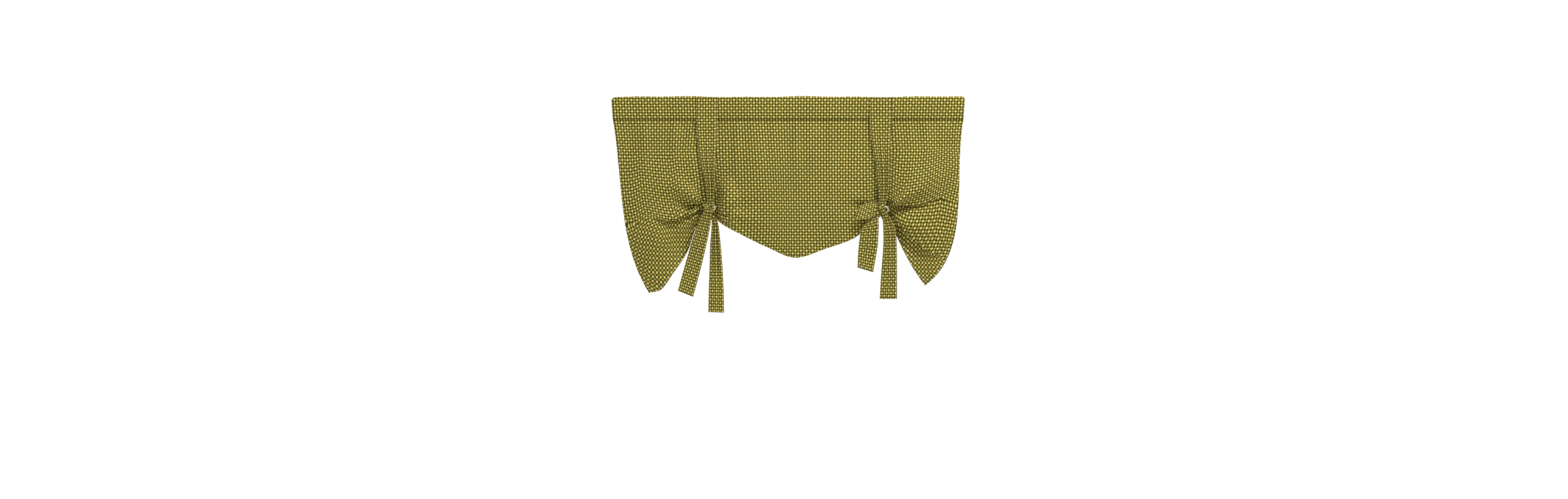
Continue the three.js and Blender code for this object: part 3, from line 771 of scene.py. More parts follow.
L, R = Side.LEFT, Side.RIGHT
MAIN_RIDGES = table(
    Ridge,
    (L, 196, 8, 9, 0.13, 260), (L, 174, -9, 9, 0.14, 230), (L, 150, 9, 10, 0.16, 260),
    (L, 124, -5, 9, 0.12, 200), (L, 212, 12, 8, 0.12, 330), (L, 231, -9, 8, 0.12, 300),
    (L, -14, 9, 10, 0.16, 260), (L, 4, -6, 10, 0.14, 220), (L, 24, 5, 12, 0.16, 240),
    (R, 38, 14, 9, 0.15, 300), (R, 6, -12, 8, 0.14, 290), (R, 66, -5, 10, 0.12, 200),
    (R, -28, 12, 9, 0.14, 280), (R, -52, -6, 8, 0.12, 240), (R, 196, 8, 10, 0.16, 240),
    (R, 180, -6, 10, 0.14, 200), (R, 160, 6, 12, 0.16, 230),
)

FINE_RIDGES = table(
    Ridge,
    (L, 185, -14, 5, 0.04, 110), (L, 193, 7, 5, 0.04, 120), (R, 14, -9, 5, 0.06, 190),
    (R, 30, 8, 6, 0.07, 230), (L, 160, -8, 5, 0.07, 170), (L, 140, 7, 6, 0.08, 200),
    (L, 186, 6.0, 4.5, 0.1, 126), (L, 166, -6.0, 4, 0.08, 138), (L, 150, 5.1, 4.5, 0.1, 161),
    (L, 132, -5.1, 5, 0.09, 149), (L, 110, 5.1, 5, 0.08, 138), (L, 204, -5.1, 4, 0.08, 126),
    (L, 214, 4.2, 4, 0.08, 138), (L, 245, 5.1, 4, 0.06, 138), (L, 40, -5.1, 5, 0.1, 138),
    (L, 12, 5.1, 4.5, 0.08, 149), (L, -5, -5.1, 4, 0.08, 172), (L, -24, -5.1, 4.5, 0.07, 161),
    (L, -33, 5.1, 4, 0.06, 126), (R, 45, -6.0, 4.5, 0.08, 149), (R, 28, 6.0, 4.5, 0.08, 172),
    (R, 12, 5.1, 4.5, 0.08, 184), (R, 4, -5.1, 4, 0.07, 172), (R, -6, 5.1, 4, 0.07, 172),
    (R, -26, -5.1, 4.5, 0.07, 161), (R, -36, 5.1, 4, 0.07, 149), (R, 72, 5.1, 5, 0.07, 138),
    (R, 206, -5.1, 4.5, 0.08, 149), (R, 188, 5.1, 4.5, 0.08, 161), (R, 170, -5.1, 5, 0.09, 161),
)


@dataclass(frozen=True)
class Gather:
    """A small upright gather below the pocket's seam."""

    x: float
    height: float
    width: float
    length: float


GATHERS = table(
    Gather,
    (-470, 6, 13, 230), (-375, 7, 11, 190), (-169, 7, 11, 240), (-70, -6, 13, 210), (26, 8, 11, 270),
    (118, -6, 13, 220), (218, 6.5, 11, 200), (396, 5, 10, 150), (451, 7, 10, 180), (509, 5.5, 9, 160),
    (-520, -4, 12, 200), (-340, -4, 12, 160), (-120, 3.5, 9, 120), (70, 3.5, 9, 130), (168, 4, 9, 140),
    (425, -4, 9, 140),
)


@dataclass(frozen=True)
class Puff:
    """A rounded swelling of the cloth, or a hollow where its height is below 0."""

    x: float
    z: float
    half_width: float
    half_height: float
    height: float


PUFFS = table(
    Puff,
    (-198, -350, 40, 88, 31), (-231, -326, 19, 26, -12), (-205, -384, 30, 14, -7),
)


@dataclass(frozen=True)
class Pucker:
    """Small puckers beside a seam, whose waves wander in length and come and go in patches.

    Attributes:
        height: how far they stand out.
        length: the length that a wave turns through one radian in.
        wander: how far the waves wander, in radians.
        wander_length: the length of one radian of wandering.
        patch_length: the length of one radian from patch to patch.
        phase: where the first patch starts, in radians.
    """

    height: float
    length: float
    wander: float
    wander_length: float
    patch_length: float
    phase: float

    def at(self, x: Any) -> Any:
        """Return the puckers' height at places across."""
        wave = np.sin(x / self.length + self.wander * np.sin(x / self.wander_length))
        return self.height * wave * np.sin(x / self.patch_length + self.phase)


TOP_PUCKER, POCKET_PUCKER, SEAM_PUCKER = table(
    Pucker,
    (0.5, 5.1, 2.2, 47, 61, 1), (0.7, 7.3, 2.5, 53, 88, 0.4), (0.8, 4.6, 2.1, 39, 67, 0.8),
)


@dataclass(frozen=True)
class StrapRoom:
    """The cloth behind a strap, which lies back so that the strap hangs free."""

    x: float
    half_width: float


STRAP_ROOMS = table(StrapRoom, (-262, 40), (306, 42))


@dataclass
class ValanceCloth:
    """The rod pocket and the panel, one printed sheet."""

    name: str = "valance_cloth"
    dense_step: float = 2.6
    open_step: float = 8.2
    dense_reach: float = 66.0
    pocket_rows: int = 34
    top_rows: int = 52
    between_rows: int = 14
    low_rows: int = 12
    turn_rows: int = 7
    hidden_rows: int = 4
    roll_rows: int = 9
    hem_rows: int = 4
    fade: float = 0.42
    lap_fade: float = 0.315
    fold_room: float = 22.0
    lower_drop: float = 12.0
    knot_influence: float = 330.0
    upper_pull: float = 0.4
    held_belly: float = 5.0
    belly_peak: float = 0.86
    straight: float = 0.3
    knot_room: float = 60.0
    top_ease: float = 2.0
    pocket_fullness: float = 0.72
    pocket_length: float = 0.8
    ridge_fade: float = 0.35
    gather_fade: float = 0.3
    puff_roundness: float = 1.2
    room_at_knot: float = 26.0
    strap_length: float = 330.0
    fold_opening: float = 8.0
    handle: float = 1 / 3
    curves: dict[str, TableCurve] = field(default_factory=dict)

    def __post_init__(self) -> None:
        """Make a curve of each column of the table of weave lines."""
        flats = [line.flat for line in LINES]
        for column in ("end_x", "end_z", "lean", "shift", "belly", "turned", "under", "tucked"):
            self.curves[column] = TableCurve(flats, [getattr(line, column) for line in LINES])

    def flats(self) -> np.ndarray:
        """Space the columns, closer together beside the knots.

        Returns:
            Their places on the cut cloth.
        """
        places = [-FLAT_WIDTH / 2]
        while places[-1] < FLAT_WIDTH / 2:
            off = min(abs(places[-1] - side.knot) for side in FOLD_SIDES)
            share = float(smoothstep(off, self.dense_reach, self.dense_reach * 2.2))
            places.append(places[-1] + mix(self.dense_step, self.open_step, share))
        places = np.array(places)
        span = places[-1] - places[0]
        return (places - places[0]) * FLAT_WIDTH / span - FLAT_WIDTH / 2

    # ---- the rod pocket
    def top_edge(self, x: float) -> float:
        """Draw the top edge, a little uneven and rounded off at both corners.

        Args:
            x: a place across.

        Returns:
            The edge's height there.
        """
        corner = min(max((abs(x) - (HEADING_WIDTH / 2 - CORNER_RADIUS)) / CORNER_RADIUS, 0.0), 1.0)
        wave = 1.1 * math.sin(x / 71 + 0.6) + 0.8 * math.sin(x / 29)
        rounding = CORNER_RADIUS * (1 - math.sqrt(1 - corner * corner * 0.96))
        return wave + TOP_PUCKER.at(x) - self.top_ease - rounding

    def pocket_section(self, flat: float) -> tuple[np.ndarray, np.ndarray]:
        """Return the pocket's points at one column, from the seam behind over the top to the seam in front.

        Args:
            flat: the column's place on the cut cloth.

        Returns:
            The points, and the cloth travelled from the front seam to each, below 0.
        """
        x = flat * HEADING_WIDTH / FLAT_WIDTH
        angles = np.linspace(math.pi, -math.pi, self.pocket_rows)
        across = np.sign(np.sin(angles)) * np.abs(np.sin(angles)) ** self.pocket_fullness
        up = np.sign(np.cos(angles)) * np.abs(np.cos(angles)) ** self.pocket_length
        z = mix(-POCKET_DROP, self.top_edge(x), (up + 1) / 2)
        ripple = 0.5 * math.sin(x / 43) + POCKET_PUCKER.at(x)
        depth = (POCKET_DEPTH - CLOTH) / 2 + ripple * np.sin(np.pi * (up + 1) / 2)
        x = x * (1 - (2 * EDGE_DRAW_IN / HEADING_WIDTH) * (z / -POCKET_DROP))
        points = np.stack((x, depth * across, z), axis=1)
        steps = np.linalg.norm(np.diff(points[:, 1:], axis=0), axis=1)
        travelled = np.concatenate(([0.0], np.cumsum(steps)))
        return points, travelled - travelled[-1]

    # ---- the panel
    def relief(self, x: np.ndarray, z: np.ndarray) -> np.ndarray:
        """Return how far the folds, gathers and creases stand forward at points seen from the front.

        Args:
            x: places across.
            z: heights.

        Returns:
            The heights of the relief.
        """
        height = np.zeros_like(x)
        for ridge in (*MAIN_RIDGES, *FINE_RIDGES):
            knot_x, knot_z = KNOT_PLACES[ridge.side]
            angle = math.radians(ridge.angle)
            along = (x - knot_x) * math.cos(angle) + (z - knot_z) * math.sin(angle)
            off = (z - knot_z) * math.cos(angle) - (x - knot_x) * math.sin(angle)
            begun = smoothstep(along, ridge.start, ridge.start * 2.5 + 20)
            fade = begun * (1 - smoothstep(along / ridge.reach, self.ridge_fade, 1))
            width = ridge.width + ridge.spread * np.maximum(along, 0)
            height += np.where(along > 0, ridge.height * fade * bell(off, width), 0)
        below = -POCKET_DROP - z
        for gather in GATHERS:
            ended = smoothstep(below, gather.length * self.gather_fade, gather.length)
            fade = smoothstep(below, 0, 22) * (1 - ended)
            height += gather.height * fade * bell(x - gather.x, gather.width)
        for puff in PUFFS:
            off = np.hypot((x - puff.x) / puff.half_width, (z - puff.z) / puff.half_height)
            height += puff.height * np.clip(1 - off * off, 0, 1) ** self.puff_roundness
        return height + SEAM_PUCKER.at(x) * smoothstep(below, 0, 4) * (1 - smoothstep(below, 8, 48))

    def strap_hold(self, x: np.ndarray, z: np.ndarray) -> np.ndarray:
        """Tell how far the straps let the cloth come forward.

        Args:
            x: places across.
            z: heights.

        Returns:
            0 behind a strap, rising to 1 clear of both.
        """
        drop = smoothstep(-z, POCKET_DROP, self.strap_length)
        held = np.ones_like(x)
        for room in STRAP_ROOMS:
            half = mix(room.half_width, self.room_at_knot, drop)
            share = np.clip((np.abs(x - room.x) - half * 0.75) / (half * 0.95), 0, 1)
            held *= share * share * (3 - 2 * share)
        return held

    def depth(self, flat: float, share: np.ndarray, x: np.ndarray, z: np.ndarray) -> np.ndarray:
        """Work out how far forward one weave line stands.

        Args:
            flat: the line's place on the cut cloth.
            share: how far down the line each point is, from 0 to 1.
            x: the points' places across.
            z: their heights.

        Returns:
            The points' places front to back.
        """
        free = self.strap_hold(x, z)
        swell = np.sin((math.pi / 2) * np.minimum(1, share / self.belly_peak))
        waver = 1.2 * np.sin(x / 37 + z / 90) * smoothstep(share, 0, 0.2)
        belly = mix(self.held_belly, float(self.curves["belly"](flat)), free)
        return -belly * swell - (self.relief(x, z) + waver) * free

    def folds_at(self, flat: float, length: float) -> list[dict[str, float]]:
        """Find where one weave line crosses the two folds.

        Args:
            flat: the line's place on the cut cloth.
            length: the line's length.

        Returns:
            For each fold its place along the line, how closed it is from 0 to 1, and the depth that it hides.
        """
        found = [{"at": 0.0, "weight": 0.0, "hidden": 0.0} for _ in range(2)]
        total = 0.0
        for side in FOLD_SIDES:
            out = (flat - side.knot) * side.outward
            influence = float(bell(out, self.knot_influence))
            total += influence
            for place, fold in zip(found, side.folds):
                share = out / fold.reach if out > 0 else -out / side.inner
                weight = 1 - min(max(share, 0.0), 1.0)
                outward = min(max(out / fold.reach, 0.0), 1.0)
                place["at"] += mix(fold.at_knot, fold.at_end, outward) * influence
                place["weight"] = max(place["weight"], weight)
                if fold.hidden is None:
                    lapped = float(smoothstep(weight, 0.1, self.fade))
                    hidden = float(self.curves["tucked"](flat)) * lapped
                else:
                    hidden = fold.hidden * min(max((weight - self.fade) / (1 - self.fade), 0.0), 1.0)
                place["hidden"] = max(place["hidden"], hidden)
        for place in found:
            place["at"] *= length / total
        found[0]["at"] = min(found[0]["at"], found[1]["at"] - self.fold_room)
        return found

    def fold_path(self, fold: Mapping[str, float], drop: float) -> tuple[np.ndarray, np.ndarray]:
        """Return one fold's rows along its weave line and their steps backwards.

        Args:
            fold: the fold's place, weight and hidden depth.
            drop: how far the layer below lies behind the hidden one.

        Returns:
            The places along the line, and the depth of each behind the layer above.
        """
        radius = LAYER_STEP / 2
        turn = np.linspace(0, math.pi, self.turn_rows)
        tuck = max(fold["hidden"], 2 * radius + 0.4)
        rest = np.linspace(0, 1, self.hidden_rows + 2)[1:-1]
        first = fold["at"] - radius + radius * np.sin(turn)
        hidden = mix(fold["at"] - radius, fold["at"] - tuck + radius, rest)
        second = fold["at"] - tuck + radius - radius * np.sin(turn)
        folded = np.concatenate((first, hidden, second))
        level = np.concatenate((
            radius * (1 - np.cos(turn)), np.full(len(rest), 2 * radius),
            2 * radius + drop / 2 * (1 - np.cos(turn)),
        ))
        opened = fold["at"] + np.linspace(-self.fold_opening, self.fold_opening, len(folded))
        lapped = float(smoothstep(fold["weight"], 0, self.lap_fade))
        lifted = float(smoothstep(fold["weight"], 0, self.fade))
        return mix(opened, folded, lapped), level * lifted

    def column(self, flat: float) -> tuple[np.ndarray, np.ndarray]:
        """Follow one weave line down the panel, from the seam to the end of its turned-under part.

        Args:
            flat: the line's place on the cut cloth.

        Returns:
            The points, and their places on the cut cloth.
        """
        top = np.array((flat * (HEADING_WIDTH / 2 - EDGE_DRAW_IN) / (FLAT_WIDTH / 2), -POCKET_DROP))
        end = np.array((float(self.curves["end_x"](flat)), float(self.curves["end_z"](flat))))
        handle = float(np.linalg.norm(end - top)) * self.handle
        lean = math.radians(float(self.curves["lean"](flat)))
        lower = end + handle * np.array((-math.sin(lean), math.cos(lean)))
        upper_x = mix(top[0], lower[0], self.upper_pull) + float(self.curves["shift"](flat))
        upper = np.array((upper_x, top[1] - handle))
        t = np.linspace(0, 1, 241)[:, None]
        line = top * (1 - t) ** 3 + upper * 3 * t * (1 - t) ** 2 + lower * 3 * t * t * (1 - t) + end * t**3
        lengths = np.concatenate(([0.0], np.cumsum(np.linalg.norm(np.diff(line, axis=0), axis=1))))
        length = float(lengths[-1])

        drops = (LAYER_STEP, self.lower_drop)
        first, second = (self.fold_path(fold, drop) for fold, drop in zip(self.folds_at(flat, length), drops))
        step = first[1][-1]
        shares = np.linspace(0, 1, self.top_rows + 2)[:-1]
        shares = shares + 0.11 * np.sin(math.pi * shares)
        turn_start = length - ROLL_RADIUS
        between = np.linspace(first[0][-1], second[0][0], self.between_rows + 2)[1:-1]
        low = np.linspace(second[0][-1], turn_start, self.low_rows + 2)[1:]
        along = np.concatenate((shares * first[0][0], first[0], between, second[0], low))
        back = np.concatenate((
            np.zeros(len(shares)), first[1], np.full(len(between), step),
            second[1] + step, np.full(len(low), second[1][-1] + step),
        ))
        x = np.interp(along, lengths, line[:, 0])
        z = np.interp(along, lengths, line[:, 1])
        y = self.depth(flat, np.clip(along / length, 0, 1), x, z) + back
        points = np.stack((x, y, z), axis=1)
        heading = (line[-1] - line[-2]) / np.linalg.norm(line[-1] - line[-2])
        points = np.concatenate((points, self.turn_under(flat, points[-1], heading)))
        flat_steps = np.hypot(np.diff(along), np.diff(back))
        solid_steps = np.linalg.norm(np.diff(points[len(along) - 1 :], axis=0), axis=1)
        travelled = np.cumsum(np.concatenate(([0.0], flat_steps, solid_steps)))
        return points, np.stack((np.full(len(points), flat), travelled), axis=1)

    def turn_under(self, flat: float, start: np.ndarray, heading: np.ndarray) -> np.ndarray:
        """Return the points past the lowest point, where the cloth rolls under or ends in its hem.

        Args:
            flat: the column's place on the cut cloth.
            start: the last point before the turn.
            heading: the weave line's direction there, seen from the front.

        Returns:
            The points after start.
        """
        under = float(self.curves["under"](flat))
        turned = float(self.curves["turned"](flat))
        arc = math.pi * ROLL_RADIUS * max(under, 0.35) / self.roll_rows
        bend = math.pi * under / self.roll_rows
        steps = [(arc, bend)] * self.roll_rows + [(turned / self.hem_rows, 0.0)] * self.hem_rows
        at = start.copy()
        angle = 0.0
        points = []
        for distance, turn in steps:
            angle += turn / 2
            at = at + distance * np.array(
                (heading[0] * math.cos(angle), math.sin(angle), heading[1] * math.cos(angle))
            )
            angle += turn / 2
            points.append(at)
        return np.array(points)

    def grid(self) -> Grid:
        """Put the pocket and the panel together, column by column.

        Returns:
            The whole cloth as one grid.
        """
        columns = []
        for flat in self.flats():
            pocket, before = self.pocket_section(flat)
            panel, after = self.column(flat)
            points = np.concatenate((pocket[:-1], panel))
            cut = np.concatenate((np.stack((np.full(len(before) - 1, flat), before[:-1]), axis=1), after))
            columns.append((points, cut))
        points, cut = (np.stack(parts, axis=1) for parts in zip(*columns))
        cut[..., 0] *= HEADING_WIDTH / FLAT_WIDTH
        # The upper part and the swag hang straight, so their print is held. The rest turns with the folds.
        flats = self.flats()
        left, right = (side.knot for side in FOLD_SIDES)
        swag = (flats > left + self.knot_room) & (flats < right - self.knot_room)
        held = np.broadcast_to(swag, points.shape[:2]).copy()
        held[: self.pocket_rows + int(self.straight * self.top_rows)] = True
        return Grid(points, lay_flat(points, cut, held), hem_distances(points))

    def build(self, finishes: Sequence[bpy.types.Material]) -> bpy.types.Object:
        """Make the cloth, dress it and put it on the frame.

        Args:
            finishes: the printed face's material and the wrong side's.

        Returns:
            The cloth.
        """
        grid = self.grid()
        piece = cloth_object(self.name, [grid], CLOTH, finishes)
        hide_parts("header_pocket", "panel")
        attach(piece, BODY)
        LOG.info("%s: %d rows, %d columns", self.name, *grid.points.shape[:2])
        return piece


# -------------------------------------------------------------------------------- ties, knots and rings
@dataclass(frozen=True)
class TieRow:
    """A place along a tie.

    Attributes:
        x: its middle, across.
        y: its middle, front to back.
        z: its middle, in height.
        width: the width that it shows.
        pleat: how deep it is folded lengthwise.
        tilt: its crosswise direction from +X, in degrees.
    """

    x: float
    y: float
    z: float
    width: float
    pleat: float
    tilt: float


LEFT_STRAP = table(
    TieRow,
    (-267, -8.9, -4, 68, 0, 0), (-267, -8.9, -78, 67, 0.6, 0), (-265, -10, -165, 60, 3, 0),
    (-263, -12, -221, 48, 6, 0), (-256, -15, -285, 33, 8, 0), (-255, -19, -338, 21, 7, 0),
    (-259, -23, -362, 16, 3, 0),
)
LEFT_TAIL = table(
    TieRow,
    (-262, -25, -364, 18, 2, -8), (-264, -29.5, -384, 27, 4, -10), (-272, -29, -412, 38, 5, -12),
    (-287, -27, -465, 48, 4, -15), (-304, -25, -530, 52, 2.5, -17), (-322, -24, -596, 54, 1, -19),
    (-336, -24, -647, 54, 0, -22),
)
LEFT_BACK_STRAP = table(
    TieRow,
    (-262, 8.9, -4, 68, 0, 0), (-262, 9.2, -78, 67, 0.6, 0), (-262, 17, -165, 58, 3, 0),
    (-262, 26, -250, 40, 5, 0), (-261, 35, -330, 24, 4, 0), (-260, 36, -380, 15, 2, 0),
    (-260, 31, -399, 13, 1, 0), (-260, 16, -405, 13, 0, 0), (-258, -4, -404, 12, 0, 0),
    (-254, -16.5, -389, 12, 0, 0),
)
LEFT_BACK_TAIL = table(
    TieRow,
    (-253, -16.5, -386, 12, 0, 0), (-244, -19, -398, 15, 3, 0), (-239, -21, -424, 22, 6, 0),
    (-238, -21, -480, 33, 8, 0), (-236, -20, -560, 42, 6, -1), (-235.5, -20, -640, 49, 3, -2),
    (-235.5, -20, -708, 52, 1, -2),
)
RIGHT_STRAP = table(
    TieRow,
    (303, -8.9, -4, 73, 0, 0), (303, -8.9, -78, 71, 0.6, 0), (305, -10, -165, 58, 4, 0),
    (310, -12.5, -230, 46, 8, 0), (312, -15, -292, 39, 9, 0), (310, -19, -338, 29, 8, 0),
    (306, -23, -363, 18, 3, 0),
)
RIGHT_TAIL = table(
    TieRow,
    (304, -25, -366, 15, 2, 14), (314, -30.5, -384, 14, 2, 14), (324, -30, -408, 29, 5, 8),
    (331, -29, -440, 40, 6, 4), (333, -27, -490, 44, 6, 1), (330, -25, -580, 52, 3, 0),
    (327.5, -24, -664, 57, 0, 0),
)
RIGHT_BACK_STRAP = table(
    TieRow,
    (308, 8.9, -4, 72, 0, 0), (308, 9.2, -78, 70, 0.6, 0), (309, 17, -165, 58, 3, 0),
    (312, 26, -250, 40, 5, 0), (316, 35, -330, 24, 4, 0), (318, 36, -380, 15, 2, 0),
    (318, 31, -398, 13, 1, 0), (317, 16, -404, 13, 0, 0), (314, -4, -403, 12, 0, 0),
    (309, -16.5, -388, 12, 0, 0),
)
RIGHT_BACK_TAIL = table(
    TieRow,
    (308, -17, -386, 11, 0, 30), (297, -22, -391, 15, 1, 35), (286, -30, -396, 27, 2, 32),
    (275, -33.5, -407, 44, 4, 22), (267, -34, -436, 58, 4, 6), (262, -32, -486, 62, 3, -4),
    (256, -30, -535, 58, 2, -12), (252, -29, -569, 54, 1, -17),
)
RIGHT_BOW = table(
    TieRow,
    (299, -28, -369, 16, 2, 84), (288, -41, -368, 40, 4, 82), (262, -48, -373, 55, 2, 78),
    (238, -51, -380, 54, 0, 74), (227, -50, -383, 50, 0, 72), (222, -45, -384, 48, 0, 72),
    (227, -40, -383, 48, 0, 72), (240, -38.5, -382, 46, 0, 73), (262, -38, -381, 36, 1, 76),
    (288, -30, -384, 18, 1, 80), (305, -18, -388, 11, 0, 84),
)


@dataclass
class Ribbon:
    """A doubled strip of the printed cotton, pleated lengthwise where it is drawn in.

    Attributes:
        gathered: the share of the hidden width that stands up in the pleats.
        edge_stitch: how much nearer the edge its stitches lie than a hem's, in millimetres.
    """

    rows: Sequence[TieRow]
    steps: int
    sides: int = 36
    pleats: int = 3
    gathered: float = 0.62
    edge_stitch: float = 8.0

    def spine(self, samples: int) -> tuple[np.ndarray, np.ndarray]:
        """Return points and directions along a smooth line through the rows.

        Args:
            samples: how many points.

        Returns:
            The points and the unit directions.
        """
        knots = np.array([(row.x, row.y, row.z) for row in self.rows])
        chord = np.linalg.norm(np.diff(knots, axis=0), axis=1) ** 0.5
        places = np.concatenate(([0.0], np.cumsum(chord)))
        at = np.interp(np.linspace(0, len(knots) - 1, samples), np.arange(len(knots)), places)
        padded = np.vstack((2 * knots[0] - knots[1], knots, 2 * knots[-1] - knots[-2]))
        slopes = (padded[2:] - padded[:-2]) / (
            np.concatenate((chord[:1], chord)) + np.concatenate((chord, chord[-1:]))
        )[:, None]
        row = np.clip(np.searchsorted(places, at, side="right") - 1, 0, len(knots) - 2)
        span = (places[row + 1] - places[row])[:, None]
        u = ((at - places[row]) / span[:, 0])[:, None]
        points = (
            (2 * u**3 - 3 * u**2 + 1) * knots[row] + (u**3 - 2 * u**2 + u) * span * slopes[row]
            + (3 * u**2 - 2 * u**3) * knots[row + 1] + (u**3 - u**2) * span * slopes[row + 1]
        )
        tangents = np.gradient(points, axis=0)
        return points, tangents / np.linalg.norm(tangents, axis=1)[:, None]

    def grid(self, start: float) -> Grid:
        """Return the ribbon's grid.

        Args:
            start: the length of tie that comes before this ribbon, for its print.

        Returns:
            The grid.
        """
        samples = self.steps + 1
        points, tangents = self.spine(samples)
        places = np.linspace(0, len(self.rows) - 1, samples)
        numbers = range(len(self.rows))
        width, pleat, tilt = (
            TableCurve(numbers, [getattr(row, column) for row in self.rows])(places)[:, None]
            for column in ("width", "pleat", "tilt")
        )
        # What the width doesn't show goes into the pleats, less the part that is pressed flat between them.
        spare = np.sqrt(np.maximum(TIE_WIDTH**2 - width**2, 0)) / (2 * self.pleats)
        pleat = np.maximum(pleat, self.gathered * spare * smoothstep(width, 56, 24))
        tilt = np.radians(tilt[:, 0])
        across = np.stack((np.cos(tilt), np.zeros(samples), np.sin(tilt)), axis=1)
        raised = np.cross(tangents, across)
        raised /= np.linalg.norm(raised, axis=1)[:, None]
        share = np.linspace(0, 1, self.sides + 1)[None, :]
        wave = 0.5 - 0.5 * np.cos(2 * math.pi * self.pleats * share)
        lift = pleat * wave
        shift = (share - 0.5) * width
        grid = points[:, None] + across[:, None] * shift[..., None] + raised[:, None] * lift[..., None]
        run = np.concatenate(([0.0], np.cumsum(np.linalg.norm(np.diff(points, axis=0), axis=1))))
        flat = np.broadcast_to(share * TIE_WIDTH, grid.shape[:2])
        along = np.broadcast_to((start + run)[:, None], grid.shape[:2])
        edge = np.minimum(flat, TIE_WIDTH - flat) + self.edge_stitch
        to_end = run[-1] - along + start
        return Grid(grid, np.stack((flat, along), axis=2), np.stack((edge, to_end), axis=2))


@dataclass
class Tie:
    """One tie: its strap and what hangs from the knot."""

    name: str
    node: str
    ribbons: Sequence[Ribbon]
    length: float
    thickness: float = 1.8

    def build(self, finish: bpy.types.Material) -> bpy.types.Object:
        """Make the tie and put it on the frame.

        Args:
            finish: the printed cotton.

        Returns:
            The tie.
        """
        grids = []
        run = 0.0
        for ribbon in self.ribbons:
            grids.append(ribbon.grid(run))
            run = float(grids[-1].cut[..., 1].max())
        piece = cloth_object(self.name, grids, self.thickness, [finish])
        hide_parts(self.node)
        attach(piece, BODY)
        LOG.info("%s: %.0f mm of ribbon", self.name, run)
        return piece


@dataclass(frozen=True)
class Knot:
    """The wound cloth of a knot, with slanting creases that turn by some radians from top to bottom."""

    name: str
    x: float
    y: float
    z: float
    half: tuple[float, float, float]
    turn: float
    rows: int = 28
    sides: int = 44
    pole: float = 0.02
    thickness: float = 0.8
    print_scale: tuple[float, float] = (12.0, 14.0)
    no_hem: float = 90.0

    def build(self, finish: bpy.types.Material) -> bpy.types.Object:
        """Make the knot and put it on the frame.

        Args:
            finish: the printed cotton.

        Returns:
            The knot.
        """
        up = np.linspace(self.pole, math.pi - self.pole, self.rows)[:, None]
        around = np.linspace(0, 2 * math.pi, self.sides + 1)[None, :]
        crease = 1 - 0.13 * np.abs(np.sin(2.5 * around + self.turn * up)) ** 0.6 * np.sin(up)
        crease = crease - 0.05 * np.sin(7 * up + 2 * around)
        level = np.ones_like(around)
        width = np.sin(up)
        ball = np.stack((width * np.cos(around), width * np.sin(around), np.cos(up) * level), axis=2)
        points = np.array((self.x, self.y, self.z)) + ball * np.array(self.half) * crease[..., None]
        across, along = self.print_scale
        cut = np.stack((around * across * np.ones_like(up), up * along * level), axis=2)
        grid = Grid(points[:, ::-1], cut[:, ::-1], np.full(cut.shape, self.no_hem))
        piece = cloth_object(self.name, [grid], self.thickness, [finish])
        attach(piece, BODY)
        return piece


@dataclass(frozen=True)
class Ring:
    """A small moulded ring caught in a knot, carried over from its node with a finer surface."""

    name: str
    node: str
    x: float
    y: float
    z: float
    radius: float = 10.6
    section: float = 2.7
    parting: float = 1.012

    def build(self, finish: bpy.types.Material) -> bpy.types.Object:
        """Make the ring and put it on the frame.

        Args:
            finish: the ring's material.

        Returns:
            The ring.
        """
        bpy.ops.mesh.primitive_torus_add(
            major_radius=self.radius * MM, minor_radius=self.section * MM,
            major_segments=72, minor_segments=28,
            location=(self.x * MM, self.y * MM, self.z * MM), rotation=(math.pi / 2, 0, 0),
        )
        piece = bpy.context.object
        piece.name = self.name
        for vertex in piece.data.vertices:
            # A fine parting line round the outside, where the mould closed.
            off = math.hypot(vertex.co.x, vertex.co.y) - (self.radius + self.section) * MM
            if abs(off) < 0.05 * MM:
                vertex.co.x *= self.parting
                vertex.co.y *= self.parting
        piece.data.polygons.foreach_set("use_smooth", [True] * len(piece.data.polygons))
        piece.data.materials.append(finish)
        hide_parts(self.node)
        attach(piece, BODY)
        return piece


# -------------------------------------------------------------------------------- studio
@dataclass(frozen=True)
class Lamp:
    """A soft round light that faces the middle of the valance, with its place and size in metres."""

    name: str
    place: tuple[float, float, float]
    size: float
    power: float
    target: tuple[float, float, float] = (0.0, 0.0, -0.35)

    def build(self) -> None:
        """Hang the light."""
        lamp = bpy.data.lights.new(self.name, "AREA")
        lamp.shape = "DISK"
        lamp.size = self.size
        lamp.energy = self.power
        holder = bpy.data.objects.new(self.name, lamp)
        holder.location = self.place
        way = Vector(self.target) - Vector(self.place)
        holder.rotation_euler = way.to_track_quat("-Z", "Y").to_euler()
        bpy.context.scene.collection.objects.link(holder)


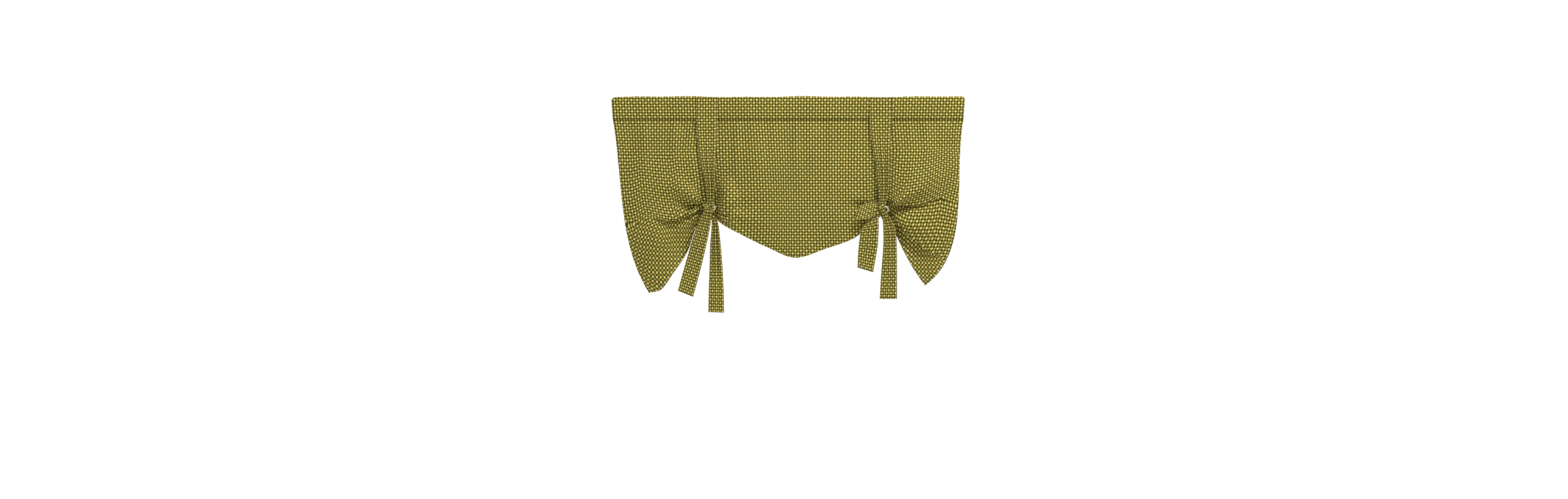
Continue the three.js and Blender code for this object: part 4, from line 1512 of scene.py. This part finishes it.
@dataclass
class Studio:
    """A pale backdrop, soft lights and the camera."""

    view_centre: tuple[float, float] = (-13.6, -502.3)
    view_width: float = 5139.0
    lens: float = 85.0
    sensor: float = 36.0
    floor: float = -1900.0
    floor_front: float = -16000.0
    wall: float = 15000.0
    wall_height: float = 8000.0
    half_width: float = 16000.0
    bend: float = 3000.0
    bend_steps: int = 16
    lamps: tuple[Lamp, ...] = table(
        Lamp, ("key", (1.5, -1.5, 2.6), 0.8, 89.0), ("fill", (-1.8, -3.6, 0.8), 2.4, 23.0)
    )
    surround: str = "#ffffff"
    surround_strength: float = 0.27

    def backdrop(self, finish: bpy.types.Material) -> None:
        """Make one sheet of paper that runs from the wall, far behind, to the floor in a wide curve.

        Args:
            finish: the paper.
        """
        profile = [(self.wall, self.wall_height), (self.wall, self.floor + self.bend)]
        for i in range(1, self.bend_steps + 1):
            angle = math.pi / 2 * i / self.bend_steps
            profile.append((
                self.wall - self.bend * (1 - math.cos(angle)), self.floor + self.bend * (1 - math.sin(angle))
            ))
        profile.append((self.floor_front, self.floor))
        sides = (-self.half_width, self.half_width)
        points = [(x * MM, y * MM, z * MM) for y, z in profile for x in sides]
        faces = [(2 * i, 2 * i + 1, 2 * i + 3, 2 * i + 2) for i in range(len(profile) - 1)]
        new_piece("backdrop", points, faces, [finish])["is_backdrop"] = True

    def lights(self) -> None:
        """Light the valance softly from above and in front, as a catalogue does."""
        for lamp in self.lamps:
            lamp.build()
        world = bpy.data.worlds.new("studio")
        world.use_nodes = True
        background = world.node_tree.nodes["Background"]
        background.inputs[0].default_value = linear(self.surround)
        background.inputs[1].default_value = self.surround_strength
        bpy.context.scene.world = world

    def camera(self) -> None:
        """Place the camera level, far enough back for the lens to take in the view's width."""
        data = bpy.data.cameras.new("camera")
        data.lens = self.lens
        data.sensor_width = self.sensor
        data.clip_end = 100.0
        holder = bpy.data.objects.new("camera", data)
        distance = self.view_width * self.lens / self.sensor
        holder.location = (self.view_centre[0] * MM, -distance * MM, self.view_centre[1] * MM)
        holder.rotation_euler = (math.pi / 2, 0.0, 0.0)
        bpy.context.scene.collection.objects.link(holder)
        bpy.context.scene.camera = holder

    def build(self) -> None:
        """Set up the whole studio."""
        self.backdrop(StudioPaper().material())
        self.lights()
        self.camera()
        bpy.context.scene.view_settings.view_transform = "Standard"


@dataclass
class Valance:
    """The whole valance: its cloth, its knots, each tie with its knot's name or none, and its rings."""

    cloth: ValanceCloth = field(default_factory=ValanceCloth)
    # The straps' cloth also wraps over the rings, and leaves only parts of them in sight.
    knots: tuple[Knot, ...] = table(
        Knot,
        ("knot_left", -264, -24, -364, (13.5, 8.6, 12), 2.2),
        ("knot_right", 302, -24, -367, (14.5, 8.6, 12.5), -2.6),
        ("wrap_left", -245.6, -27.5, -367, (3.6, 4.2, 15), 1.6),
        ("wrap_left_low", -251, -27.5, -377, (8.5, 4.0, 5), 1.2),
        ("wrap_right", 321, -27.2, -380.5, (6.5, 3.8, 4.6), -1.4),
    )
    ties: tuple[tuple[Tie, str], ...] = (
        (Tie("tie_left_front_cloth", "tie_left_front",
             table(Ribbon, (LEFT_STRAP, 70), (LEFT_TAIL, 54)), 660), "knot_left"),
        (Tie("tie_left_back_cloth", "tie_left_back",
             table(Ribbon, (LEFT_BACK_STRAP, 84), (LEFT_BACK_TAIL, 54)), 760), ""),
        (Tie("tie_right_front_cloth", "tie_right_front",
             table(Ribbon, (RIGHT_STRAP, 70), (RIGHT_TAIL, 54)), 670), "knot_right"),
        (Tie("tie_right_back_cloth", "tie_right_back",
             table(Ribbon, (RIGHT_BACK_STRAP, 84), (RIGHT_BACK_TAIL, 50), (RIGHT_BOW, 70)), 840), ""),
    )
    rings: tuple[Ring, ...] = table(
        Ring,
        ("ring_left_body", "ring_left", -250.5, -24, -366.5),
        ("ring_right_body", "ring_right", 316.5, -24, -373),
    )

    def build(self) -> None:
        cotton = PrintedCotton()
        printed, wrong = (cotton.material(face) for face in (ClothFace.PRINTED, ClothFace.WRONG))
        ring_finish = MouldedRing().material()
        self.cloth.build([printed, wrong])
        knots = {knot.name: knot.build(printed) for knot in self.knots}
        for tie, knot in self.ties:
            cloth = tie.build(printed)
        for ring in self.rings:
            ring.build(ring_finish)


def corners() -> list[list[float]]:
    """Return the shown object's lowest and highest corner as plain lists."""
    return [list(corner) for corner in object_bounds()]


def main() -> None:
    """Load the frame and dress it."""
    logging.basicConfig(level=logging.INFO, format="%(name)s: %(message)s")
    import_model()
    Studio().build()
    Valance().build()


if __name__ == "__main__":
    main()
